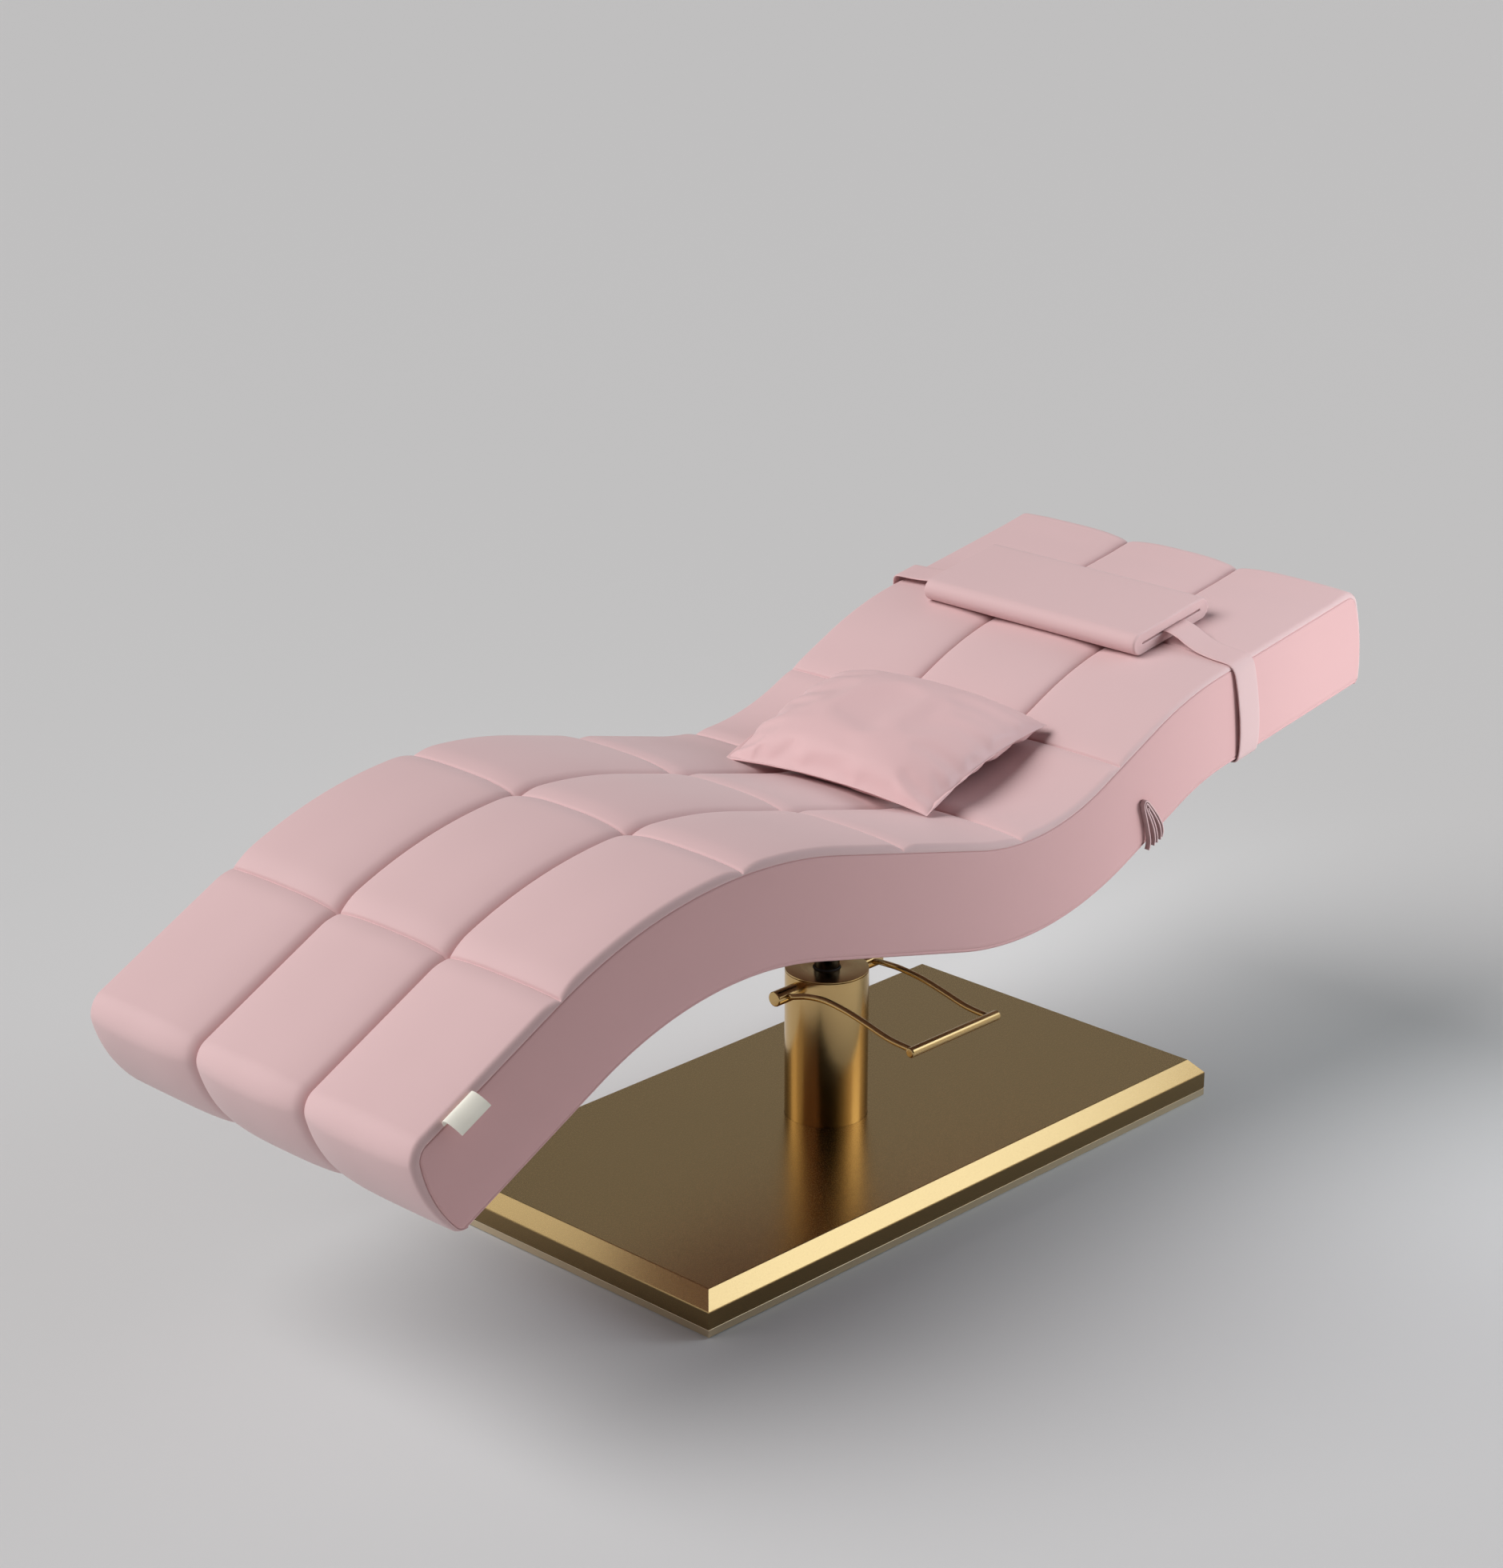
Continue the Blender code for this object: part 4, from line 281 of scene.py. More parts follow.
def new_finish(name, color, roughness, metallic=0.0, **sockets):
    """A material with one Principled shader. Plain values go straight on its sockets."""
    finish = bpy.data.materials.new(name)
    finish.use_nodes = True
    shader = finish.node_tree.nodes["Principled BSDF"]
    shader.inputs["Base Color"].default_value = (*color, 1.0)
    shader.inputs["Roughness"].default_value = roughness
    shader.inputs["Metallic"].default_value = metallic
    for key, value in sockets.items():
        shader.inputs[key.replace("_", " ")].default_value = value
    finish.diffuse_color = (*color, 1.0)
    return finish, finish.node_tree, shader


# %% [markdown]
# ## Shared effects
# Cloudy tone: large soft noise that lightens and darkens a colour by a few per cent, as
# on any real hide or painted metal. Grain: a cell texture with noise, for the pebbled
# face of coated leather. Weave: two crossed waves, for cloth and webbing.


# %% Shared effect groups
def tone_group():
    """Base colour changed a little by large soft noise."""
    tree, given, result = new_group(
        "cloudy_tone", {"Color": (0.8, 0.8, 0.8, 1.0), "Scale": 3.0, "Amount": 0.05},
        {"Color": "NodeSocketColor", "Mask": "NodeSocketFloat"})
    noise = add_node(tree, "ShaderNodeTexNoise", {
        "Vector": coordinate(tree, "Object"), "Scale": given["Scale"], "Detail": 3.0,
        "Roughness": 0.55})
    mask = noise.outputs[0]
    swing = calculate(tree, "MULTIPLY", calculate(tree, "SUBTRACT", mask, 0.5), given["Amount"])
    tinted = scaled(tree, given["Color"], calculate(tree, "ADD", swing, 1.0))
    feed(tree, result, {"Color": tinted, "Mask": mask})
    return tree


def grain_group():
    """Height of a pebbled leather face: rounded cells with finer noise on them."""
    tree, given, result = new_group("leather_grain", {"Scale": 900.0, "Fine": 0.35},
                                    {"Height": "NodeSocketFloat"})
    where = coordinate(tree, "Object")
    cells = add_node(tree, "ShaderNodeTexVoronoi", {
        "Vector": where, "Scale": given["Scale"], "Randomness": 0.9}, feature="SMOOTH_F1")
    noise = add_node(tree, "ShaderNodeTexNoise", {"Vector": where, "Detail": 2.0, "Scale": 2200.0})
    feed(tree, result, {"Height": calculate(
        tree, "MULTIPLY_ADD", noise.outputs[0], given["Fine"], cells.outputs["Distance"])})
    return tree


def weave_group():
    """Height of a plain weave in object coordinates: sin(x + z) sin(y - z), both scaled."""
    tree, given, result = new_group("cloth_weave", {"Threads": 400.0},
                                    {"Height": "NodeSocketFloat"})
    spread = scaled(tree, coordinate(tree, "Object"), given["Threads"])
    x, y, z = add_node(tree, "ShaderNodeSeparateXYZ", {0: spread}).outputs
    one_way = calculate(tree, "SINE", calculate(tree, "ADD", x, z))
    other_way = calculate(tree, "SINE", calculate(tree, "SUBTRACT", y, z))
    feed(tree, result, {"Height": calculate(tree, "MULTIPLY", one_way, other_way)})
    return tree


CLOUDY_TONE = tone_group()
LEATHER_GRAIN = grain_group()
CLOTH_WEAVE = weave_group()


# %% Using the effects
def tint(tree, shader, color, scale, amount):
    """Put a cloudy colour on a shader."""
    tone = add_node(tree, "ShaderNodeGroup", {
        "Color": (*color, 1.0), "Scale": scale, "Amount": amount}, node_tree=CLOUDY_TONE)
    feed(tree, shader, {"Base Color": tone.outputs["Color"]})
    return tone


def paint_shade_by_facing(tree, shader, tone, axis, low, high, least):
    """Painted shade: darken a colour by the size of one part of the face's own normal.

    The colour is multiplied by `least` where that part is under `low`, and by 1 over `high`.
    """
    split = add_node(tree, "ShaderNodeSeparateXYZ", {0: coordinate(tree, "Normal")})
    share = add_node(tree, "ShaderNodeMapRange", {
        "Value": calculate(tree, "ABSOLUTE", split.outputs[axis]), "From Min": low,
        "From Max": high, "To Min": least, "To Max": 1.0})
    feed(tree, shader, {"Base Color": scaled(tree, tone.outputs["Color"], share.outputs[0])})


def vary_roughness(tree, shader, mask, low, high, **span):
    """Let a mask move the roughness between two values."""
    rough = add_node(tree, "ShaderNodeMapRange", {"Value": mask, "To Min": low, "To Max": high})
    feed(tree, rough, {key.replace("_", " "): value for key, value in span.items()})
    feed(tree, shader, {"Roughness": rough.outputs[0]})


def bump(tree, shader, height, strength, distance):
    """Feed a height into the shader's normal."""
    made = add_node(tree, "ShaderNodeBump", {
        "Height": height, "Strength": strength, "Distance": distance})
    feed(tree, shader, {"Normal": made.outputs["Normal"]})


# %% [markdown]
# ## Soft finishes
# The cover is coated leather with a soft satin gloss and a grain too fine to see from a
# few metres. The pillow is the same pink in a smoother satin that shines more, the strap
# and the keeper are cut from the cover's material, and the tag is a cream ribbon.


# %% Leather, satin and cloth
PINK = (0.73, 0.50, 0.503)
# The side panels use the same leather with painted shade: a deeper, darker pink than the top, as
# the sides get less light.
SHADED_SIDE_PINK = (0.735, 0.43, 0.433)


def leather_finish(name, color, roughness, grain, sheen, dark=1.0):
    """Coated leather. Faces along the bed are darkened to `dark` as painted shade, the shade
    between folded layers.
    """
    finish, tree, shader = new_finish(name, color, roughness, Specular_IOR_Level=0.42,
                                      Sheen_Weight=sheen, Sheen_Roughness=0.5)
    tone = tint(tree, shader, color, 2.6, 0.07)
    vary_roughness(tree, shader, tone.outputs["Mask"], roughness - 0.03, roughness + 0.04)
    # Painted shade on faces that look along the bed.
    if dark < 1.0:
        paint_shade_by_facing(tree, shader, tone, "Y", 0.3, 0.8, dark)
    cells = add_node(tree, "ShaderNodeGroup", {"Scale": grain, "Fine": 0.3},
                     node_tree=LEATHER_GRAIN)
    bump(tree, shader, cells.outputs["Height"], strength=0.12, distance=0.0004)
    return finish


def cloth_finish(name, color, roughness, threads, depth, sheen):
    """Plain cloth whose weave stands up by `depth`."""
    finish, tree, shader = new_finish(name, color, roughness, Sheen_Weight=sheen,
                                      Sheen_Roughness=0.4)
    tint(tree, shader, color, 5.0, 0.08)
    weave = add_node(tree, "ShaderNodeGroup", {"Threads": threads}, node_tree=CLOTH_WEAVE)
    bump(tree, shader, weave.outputs["Height"], strength=0.35, distance=depth)
    return finish


pink_leather = leather_finish("pink_leather_soft", PINK, 0.46, 900.0, 0.12)
side_leather_painted_shade = leather_finish("pink_leather_side", SHADED_SIDE_PINK, 0.48, 900.0, 0.12)
pink_trim = leather_finish("pink_leather_trim", PINK, 0.50, 1100.0, 0.05)
# The keeper's leather has painted shade: faces that look along the bed are darkened to 0.7.
folded_leather_painted_shade = leather_finish("folded_leather_painted_shade", PINK, 0.50, 1100.0, 0.05, 0.7)
pillow_satin = leather_finish("pillow_satin", (0.76, 0.505, 0.51), 0.36, 1500.0, 0.05)
# The lining is dark pink cloth, made darker still as painted shade under the bed.
lining_cloth = cloth_finish("lining_cloth", (0.30, 0.19, 0.19), 0.8, 2400.0, 0.0003, 0.2)
cream_ribbon = cloth_finish("cream_ribbon", (0.97, 0.93, 0.82), 0.7, 5200.0, 0.0001, 0.6)
foam_finish = cloth_finish("open_foam", (0.85, 0.82, 0.70), 0.95, 900.0, 0.001, 0.0)
print("soft finishes made")

# %% [markdown]
# ## Metals and boards
# The column, base and pedal are a champagne gold with a satin face: a metal whose gloss
# is broken by a very fine speckle. The rod is black chrome. Inside are blued steel,
# bright steel, bronze, rubber and plywood, which a person sees when the bed is opened.


# %% Metals, rubber and plywood
def metal_finish(name, color, roughness, speckle, depth, metallic=1.0, upright_painted_shade=1.0):
    """Satin metal. Upright faces are darkened to `upright_painted_shade` as painted shade: the dark
    reflection of the shaded floor beside them.
    """
    finish, tree, shader = new_finish(name, color, roughness, metallic)
    tone = tint(tree, shader, color, 6.0, 0.04)
    # Painted shade on upright faces.
    if upright_painted_shade < 1.0:
        paint_shade_by_facing(tree, shader, tone, "Z", 0.05, 0.5, upright_painted_shade)
    noise = add_node(tree, "ShaderNodeTexNoise", {
        "Vector": coordinate(tree, "Object"), "Scale": speckle, "Detail": 2.0})
    vary_roughness(tree, shader, noise.outputs[0], roughness * 0.85, roughness * 1.15,
                   From_Min=0.3, From_Max=0.7)
    bump(tree, shader, noise.outputs[0], strength=0.10, distance=depth)
    return finish


# The base's upright faces get painted shade, 0.40 of the gold's colour.
gold_satin = metal_finish("gold_satin", (0.67, 0.46, 0.205), 0.25, 1300.0, 0.0003, upright_painted_shade=0.40)
gold_turned = metal_finish("gold_turned", (0.66, 0.455, 0.20), 0.19, 1500.0, 0.0002)
gold_polished = metal_finish("gold_polished", (0.80, 0.66, 0.45), 0.13, 900.0, 0.0001)
black_chrome = metal_finish("black_chrome", (0.055, 0.055, 0.058), 0.10, 900.0, 0.00002)
black_steel = metal_finish("black_steel", (0.05, 0.05, 0.055), 0.45, 700.0, 0.0003, 0.4)
bright_steel = metal_finish("bright_steel", (0.56, 0.57, 0.59), 0.30, 900.0, 0.0001)
bronze = metal_finish("bronze", (0.60, 0.40, 0.20), 0.35, 900.0, 0.0001)
black_rubber = metal_finish("black_rubber", (0.03, 0.03, 0.031), 0.75, 500.0, 0.0004, 0.0)


def plywood_finish():
    """Birch plywood: noise stretched along the board gives streaks between two tones."""
    finish, tree, shader = new_finish("birch_plywood", (0.62, 0.45, 0.28), 0.6)
    stretch = add_node(tree, "ShaderNodeMapping", {
        "Vector": coordinate(tree, "Object"), "Scale": (3.0, 60.0, 60.0)})
    streaks = add_node(tree, "ShaderNodeTexNoise", {
        "Vector": stretch.outputs[0], "Scale": 1.0, "Detail": 4.0})
    tones = add_node(tree, "ShaderNodeMix", {
        "Factor": streaks.outputs[0], "A": (0.50, 0.34, 0.20, 1.0),
        "B": (0.72, 0.55, 0.36, 1.0)}, data_type="RGBA")
    feed(tree, shader, {"Base Color": tones.outputs["Result"]})
    bump(tree, shader, streaks.outputs[0], strength=0.2, distance=0.0005)
    return finish


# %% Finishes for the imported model
SLOT_FINISHES = {
    "gold_satin": gold_satin, "black_chrome": black_chrome, "black_steel": black_steel,
    "steel": bright_steel, "bronze": bronze, "rubber": black_rubber,
    "plywood": plywood_finish(), "pink_leather": pink_leather,
    "padded_pink_leather": pink_leather, "pink_fabric": lining_cloth,
    "cream_fabric": cream_ribbon, "foam": foam_finish}

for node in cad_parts.values():
    for place in node.material_slots:
        place.material = SLOT_FINISHES[place.material.name.split(".")[0]]
used = {place.material.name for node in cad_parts.values() for place in node.material_slots}
print("finishes on the nodes:", sorted(used))

# %% [markdown]
# ## The wave
# Everything soft follows one line: the seam round the top of the bed. It is four straight
# stretches joined by three arcs, given by lengths, radii and slopes. One function turns a
# distance along it, a height over it and a place across the bed into a point.

# %% The seam line
STRAIGHTS = (0.256, 0.288, 0.125, 0.3215)
RADII = (0.690, 0.368, 0.521)
SLOPES = np.radians((27.3, -14.2, 25.5, 9.2))
FOOT_OVERHANG = 1.0244
SEAM_HEIGHT = 0.5446


def stretch_table():
    """Start station, x, z, slope and curvature of every stretch, and the whole length."""
    rows = []
    station = x = z = 0.0
    for index, length in enumerate(STRAIGHTS):
        slope = SLOPES[index]
        rows.append((station, x, z, slope, 0.0))
        station += length
        x += length * math.cos(slope)
        z += length * math.sin(slope)
        if index < len(RADII):
            turn = SLOPES[index + 1] - slope
            bend = math.copysign(1.0 / RADII[index], turn)
            rows.append((station, x, z, slope, bend))
            station += abs(turn) * RADII[index]
            x += (math.sin(slope + turn) - math.sin(slope)) / bend
            z += (math.cos(slope) - math.cos(slope + turn)) / bend
    return np.array(rows), station


STRETCHES, SEAM_LENGTH = stretch_table()


def raw_seam(station):
    """x, z and slope at distances along the seam; a straight goes on past both ends."""
    index = np.searchsorted(STRETCHES[:, 0], station, side="right") - 1
    index = np.clip(index, 0, len(STRETCHES) - 1)
    start, x, z, slope, bend = np.moveaxis(STRETCHES[index], -1, 0)
    run = station - start
    turned_slope = slope + bend * run
    flat = bend == 0.0
    safe = np.where(flat, 1.0, bend)
    x = x + np.where(flat, run * np.cos(slope), (np.sin(turned_slope) - np.sin(slope)) / safe)
    z = z + np.where(flat, run * np.sin(slope), (np.cos(slope) - np.cos(turned_slope)) / safe)
    return x, z, turned_slope


sample = np.linspace(0.0, SEAM_LENGTH, 4001)
sample_x, sample_z, _ = raw_seam(sample)
SEAM_LIFT = SEAM_HEIGHT - np.interp(FOOT_OVERHANG, sample_x, sample_z)


def bed_point(station, up, y):
    """Points at a height over the seam line, measured square to it."""
    station, up, y = np.broadcast_arrays(np.asarray(station, float), up, y)
    x, z, slope = raw_seam(station)
    return np.stack([x - FOOT_OVERHANG - up * np.sin(slope), y,
                     z + SEAM_LIFT + up * np.cos(slope)], -1)


def local_point(station, along, up, y):
    """A point in the bed's own directions at one station: along it, up from it and across."""
    _, _, slope = raw_seam(np.array(station))
    middle = bed_point(station, 0.0, 0.0)
    return np.stack([middle[0] + along * math.cos(slope) - up * math.sin(slope), y,
                     middle[2] + along * math.sin(slope) + up * math.cos(slope)], -1)


print("seam length %.4f m" % SEAM_LENGTH)

# %% [markdown]
# ## The quilted cover
# The top is sewn in three rows of seven panels. Between the rows run deep channels, and
# across them fine seams that pull the padding down. Each panel is a soft pillow: it climbs
# steeply from its seam over a rolled shoulder, and a flat dome goes on to its middle. The
# same skin rolls over both ends, so the grid starts under the foot end, climbs it, runs
# along the top, and goes down the head end.

# %% Sizes of the upholstery
BED_WIDTH = 0.621
HALF_WIDTH = BED_WIDTH / 2.0
BED_DEPTH = 0.144
CORNER = 0.018
SKIRT = 0.1397
CORE_HALF = 0.3042
ROW_SHARES = (0.1373, 0.1689, 0.1593, 0.1282, 0.1130, 0.1463, 0.1470)
ROW_CROWNS = np.array((0.013, 0.013, 0.012, 0.011, 0.009, 0.0035, 0.003))
ROW_BOUNDS = np.concatenate([[0.0], np.cumsum(ROW_SHARES) * SEAM_LENGTH])
FOOT_END = {"bulge": 0.013, "tuck": 0.012, "crown": 0.001, "row_crown": ROW_CROWNS[0]}
HEAD_END = {"bulge": 0.009, "tuck": 0.009, "crown": 0.003, "row_crown": 0.0065}
PINCH_REACH_SHARE = 0.12
TUCK_TURN = 1.35
TUCK_ROWS, WALL_ROWS, CORNER_ROWS = 8, 26, 14


def end_push(depth, end):
    """How far an end face stands out at a depth: a parabola with a tucked bottom edge."""
    push = end["bulge"] * (1.0 - (2.0 * depth / BED_DEPTH - 1.0) ** 2)
    into = np.clip(depth - (BED_DEPTH - end["tuck"]), 0.0, end["tuck"])
    return push - (end["tuck"] - np.sqrt(end["tuck"] ** 2 - into ** 2))


def end_rows(end):
    """Rows from under an end to the top of its corner: station, depth, turn, crown."""
    tuck_turn = np.linspace(TUCK_TURN, 0.0, TUCK_ROWS)[:-1]
    tuck_depth = BED_DEPTH - end["tuck"] + end["tuck"] * np.sin(tuck_turn)
    wall_depth = np.linspace(BED_DEPTH - end["tuck"], CORNER, WALL_ROWS)[:-1]
    turn = np.linspace(math.pi / 2.0, 0.0, CORNER_ROWS)[:-1]
    depth = np.concatenate([tuck_depth, wall_depth, CORNER * (1.0 - np.cos(turn))])
    turn = np.concatenate([np.full(len(tuck_depth) + len(wall_depth), math.pi / 2.0), turn])
    station = CORNER * (1.0 - np.sin(turn)) - end_push(depth, end)
    drop = np.clip((depth - CORNER) / (SKIRT - CORNER), 0.0, 1.0)
    crown = end["row_crown"] + (end["crown"] - end["row_crown"]) * drop
    return station, depth, turn, crown


SEAM_OFFSETS = np.array((0.0, 0.5, 1.0, 1.6, 2.4, 3.5, 5.0, 7.0, 9.5, 12.5, 16.0, 20.0, 25.0,
                         31.0)) / 1000.0
ROW_PITCH = 0.008
LAST_CROWN_RISE = 0.065


def between(low, high, offsets, pitch):
    """Places from low to high: close together near both ends and evenly spread between."""
    count = max(2, int(round((high - low - 2.0 * offsets[-1]) / pitch)) + 1)
    middle = np.linspace(low + offsets[-1], high - offsets[-1], count)[1:-1]
    return np.concatenate([low + offsets, middle, (high - offsets)[::-1]])


def top_rows():
    """Stations along the top, with the crown there and the pinch: 1 on a cross seam."""
    stations = []
    pinches = []
    gaps = []
    for index, (low, high) in enumerate(zip(ROW_BOUNDS, ROW_BOUNDS[1:])):
        first, last = index == 0, index == len(ROW_SHARES) - 1
        places = between(max(low, CORNER), min(high, SEAM_LENGTH - CORNER), SEAM_OFFSETS,
                         ROW_PITCH)
        places = places[:-1] if not last else places
        reach = PINCH_REACH_SHARE * (high - low)
        gap = np.minimum(np.full_like(places, 1.0) if first else places - low,
                         np.full_like(places, 1.0) if last else high - places)
        stations.append(places)
        pinches.append(np.clip(1.0 - gap / reach, 0.0, 1.0) ** 2)
        gaps.append(gap)
    stations = np.concatenate(stations)
    middles = (ROW_BOUNDS[1:] + ROW_BOUNDS[:-1]) / 2.0
    crowns = np.interp(stations, np.append(middles, (SEAM_LENGTH - LAST_CROWN_RISE, SEAM_LENGTH)),
                       np.append(ROW_CROWNS, (ROW_CROWNS[-1], HEAD_END["row_crown"])))
    return stations, crowns, np.concatenate(pinches), np.concatenate(gaps)


# %% The cover's outline and its height
def cover_outline():
    """Place, outward direction, crown, pinch and seam gap of every row, foot to head."""
    parts = []
    for end, at, sign in ((FOOT_END, 0.0, 1.0), (HEAD_END, SEAM_LENGTH, -1.0)):
        station, depth, turn, crown = end_rows(end)
        _, _, slope = raw_seam(np.array(at))
        place = bed_point(at, 0.0, 0.0)
        along = np.array((math.cos(slope), 0.0, math.sin(slope)))
        up = np.array((-math.sin(slope), 0.0, math.cos(slope)))
        spot = place + np.outer(sign * station, along) - np.outer(depth, up)
        outward = np.outer(np.cos(turn), up) - np.outer(sign * np.sin(turn), along)
        parts.append([spot, outward, crown, np.zeros_like(crown), np.ones_like(crown)])
    station, crown, pinch, gap = top_rows()
    _, _, slope = raw_seam(station)
    up = np.stack([-np.sin(slope), np.zeros_like(slope), np.cos(slope)], -1)
    top = [bed_point(station, 0.0, 0.0), up, crown, pinch, gap]
    head = [value[::-1] for value in parts[1]]
    return [np.concatenate(values) for values in zip(parts[0], top, head)]


CHANNEL = 0.0090
CREASE = 0.0035
EDGE_ROLL = 0.0065
CHANNEL_ROLL = 0.014
SEAM_DENT, SEAM_DENT_WIDTH = 0.0026, 0.0018
FLOOR_PINCH, CREST_PINCH = 0.65, 0.6
EDGE_STEP_SHARE, CHANNEL_STEP_SHARE = 0.55, 0.5


def quilt_height(y, crown, pinch, gap):
    """Height of the cover over its seam line.

    Each half panel climbs from its floor to its crest in two steps: a quarter ellipse
    sqrt(1 - (1 - d / r)^2) close to the seam, which is the rolled shoulder, and a dome
    1 - (1 - t)^3 of the share t of the way to the panel's middle for the rest.
    """
    share = (y / BED_WIDTH + 0.5) * 3.0
    column = np.clip(np.floor(share), 0, 2)
    inside = share - column
    to_edge = np.minimum(inside, 1.0 - inside) * 2.0
    outer = ((column == 0) & (inside < 0.5)) | ((column == 2) & (inside >= 0.5))
    floor = np.where(outer, -CREASE, -CHANNEL - FLOOR_PINCH * crown * pinch)
    crest = crown * (1.0 - CREST_PINCH * pinch)
    step = np.where(outer, CREASE + EDGE_STEP_SHARE * crown * (1.0 - pinch),
                    CHANNEL_STEP_SHARE * (crest - floor))
    reach = np.where(outer, EDGE_ROLL, CHANNEL_ROLL)
    near = np.clip(to_edge * BED_WIDTH / 6.0 / reach, 0.0, 1.0)
    roll = np.sqrt(1.0 - (1.0 - near) ** 2)
    dome = 1.0 - (1.0 - to_edge) ** 3
    dent = SEAM_DENT * np.exp(-(gap / SEAM_DENT_WIDTH) ** 2) * np.clip(to_edge * 30.0, 0.0, 1.0)
    return floor + step * roll + (crest - floor - step) * dome - dent


# %% The quilted cover
EDGE_OFFSETS = np.array((0.0, 0.12, 0.35, 0.7, 1.2, 2.0, 3.0, 4.3, 6.0, 8.5, 12.0, 16.0, 21.0,
                         27.0, 34.0)) / 1000.0
COLUMN_PITCH = 0.0095
LIP = ((HALF_WIDTH - 0.0003, CREASE + 0.0005), (HALF_WIDTH - 0.0011, CREASE + 0.0010),
       (HALF_WIDTH - 0.0032, CREASE + 0.0013), (CORE_HALF, 0.016))


def quilted_cover():
    """The skin as columns across the bed, closed by a lip under each edge and an inner face."""
    spot, outward, crown, pinch, gap = cover_outline()
    bounds = np.linspace(-HALF_WIDTH, HALF_WIDTH, 4)
    columns = [between(low, high, EDGE_OFFSETS, COLUMN_PITCH)[1:]
               for low, high in zip(bounds, bounds[1:])]
    y = np.concatenate([bounds[:1], *columns])
    height = quilt_height(y[None, :], crown[:, None], pinch[:, None], gap[:, None])
    skin = spot[:, None, :] + outward[:, None, :] * height[:, :, None]
    skin[:, :, 1] = y

    def lip_column(across, drop):
        column = spot - outward * drop
        column[:, 1] = across
        return column
    far = np.stack([lip_column(across, drop) for across, drop in LIP], 1)
    near = np.stack([lip_column(-across, drop) for across, drop in LIP[::-1]], 1)
    return ring_mesh("quilted_cover", np.concatenate([skin, far, near], 1))


cover = add_piece("quilted_cover", quilted_cover(), pink_leather, "bed",
                  ["top_cover"])

# %% [markdown]
# ## Side panels
# A flat boxing strip closes each side. Its top edge turns in under the cover's edge, and
# the crease between the two is what reads as the seam. The panel is a grid over distance
# along and depth, and near its border it rounds inwards by a quarter circle. It reaches
# down over the lining's edge, with a stitched groove just above its own lower edge.


# %% Side panels
PANEL_OFFSETS = np.array((0.0, 0.2, 0.5, 0.9, 1.5, 2.2, 3.2, 4.0, 4.6, 5.2, 7.0, 11.0)) / 1000.0
PANEL_PITCH = 0.009
BORDER = CREASE + 0.0009
LOW_EDGE = BED_DEPTH - 0.0004
BORDER_ROLL = 0.0030
SWELL = 0.0020
STITCH_LIFT, STITCH_WIDTH, STITCH_DEPTH = 0.0046, 0.0007, 0.0011
END_FADE = 0.2


def corner_sink(distance, radius):
    """Drop of a quarter circle at a distance from its edge: r - sqrt(r^2 - (r - d)^2)."""
    left = np.clip(radius - distance, 0.0, radius)
    return radius - np.sqrt(np.clip(radius ** 2 - left ** 2, 0.0, None))


def side_panel(name, sign):
    """Front and back grids of a panel, joined by a wall round their border."""
    depth = between(BORDER, LOW_EDGE, PANEL_OFFSETS, PANEL_PITCH)[:, None]
    run = between(0.0, SEAM_LENGTH, PANEL_OFFSETS, PANEL_PITCH)[None, :]

    def end_shift(end, distance):
        arc = BORDER + corner_sink(depth - BORDER, CORNER - BORDER)
        return (arc - end_push(depth, end)) * np.clip(1.0 - distance / END_FADE, 0.0, 1.0) ** 2
    station = run + end_shift(FOOT_END, run) - end_shift(HEAD_END, SEAM_LENGTH - run)
    from_border = np.minimum(np.minimum(depth - BORDER, LOW_EDGE - depth),
                             np.minimum(run, SEAM_LENGTH - run))
    stitch = STITCH_DEPTH * np.exp(-((LOW_EDGE - STITCH_LIFT - depth) / STITCH_WIDTH) ** 2)
    swell = SWELL * (1.0 - (2.0 * (depth - BORDER) / (LOW_EDGE - BORDER) - 1.0) ** 4)
    outer = HALF_WIDTH + 0.0004 + swell - (corner_sink(from_border, BORDER_ROLL) + stitch)
    grids = [bed_point(station, -depth, sign * across) for across in (outer, CORE_HALF + 0.0005)]
    rows, columns = station.shape
    rim = np.concatenate([np.arange(columns), np.arange(1, rows) * columns + columns - 1,
                          (rows - 1) * columns + np.arange(columns - 2, -1, -1),
                          np.arange(rows - 2, 0, -1) * columns])
    follow = np.roll(rim, -1)
    wall = np.stack([rim, rim + rows * columns, follow + rows * columns, follow], -1)
    return make_mesh(name, np.stack(grids), np.concatenate([sheet_faces(rows, columns), wall]))


for side_name, sign in (("near", -1.0), ("far", 1.0)):
    name = "side_panel_" + side_name
    add_piece(name, side_panel(name, sign), side_leather_painted_shade, "bed",
              ["side_cover_" + side_name])

# %% [markdown]
# ## Lining and foam
# The underside is a thin board wrapped in cloth, with a hole for the swivel. The foam lies
# under the cover on the deck. Both are slabs that follow the wave, with soft edges.


# %% Slabs that follow the wave
LINING_THICKNESS = BED_DEPTH - SKIRT - 0.0003
FOAM_END = 0.0253
OPENING = [(0.0, 0.20), (0.036, 0.20), (0.036, 0.55), (0.0, 0.55)]


def slab(name, start, end, half, top, low, radius):
    """A slab between two stations and two depths, with its four long edges rounded."""
    corners = [(-half, -low), (-half, -top), (half, -top), (half, -low), (-half, -low),
               (-half, -top)]
    loop = rounded(corners, radius)[1:-1]
    station = np.linspace(start, end, 150)[:, None]
    return ring_mesh(name, bed_point(station, loop[None, :, 1], loop[None, :, 0]), sharp=60.0)


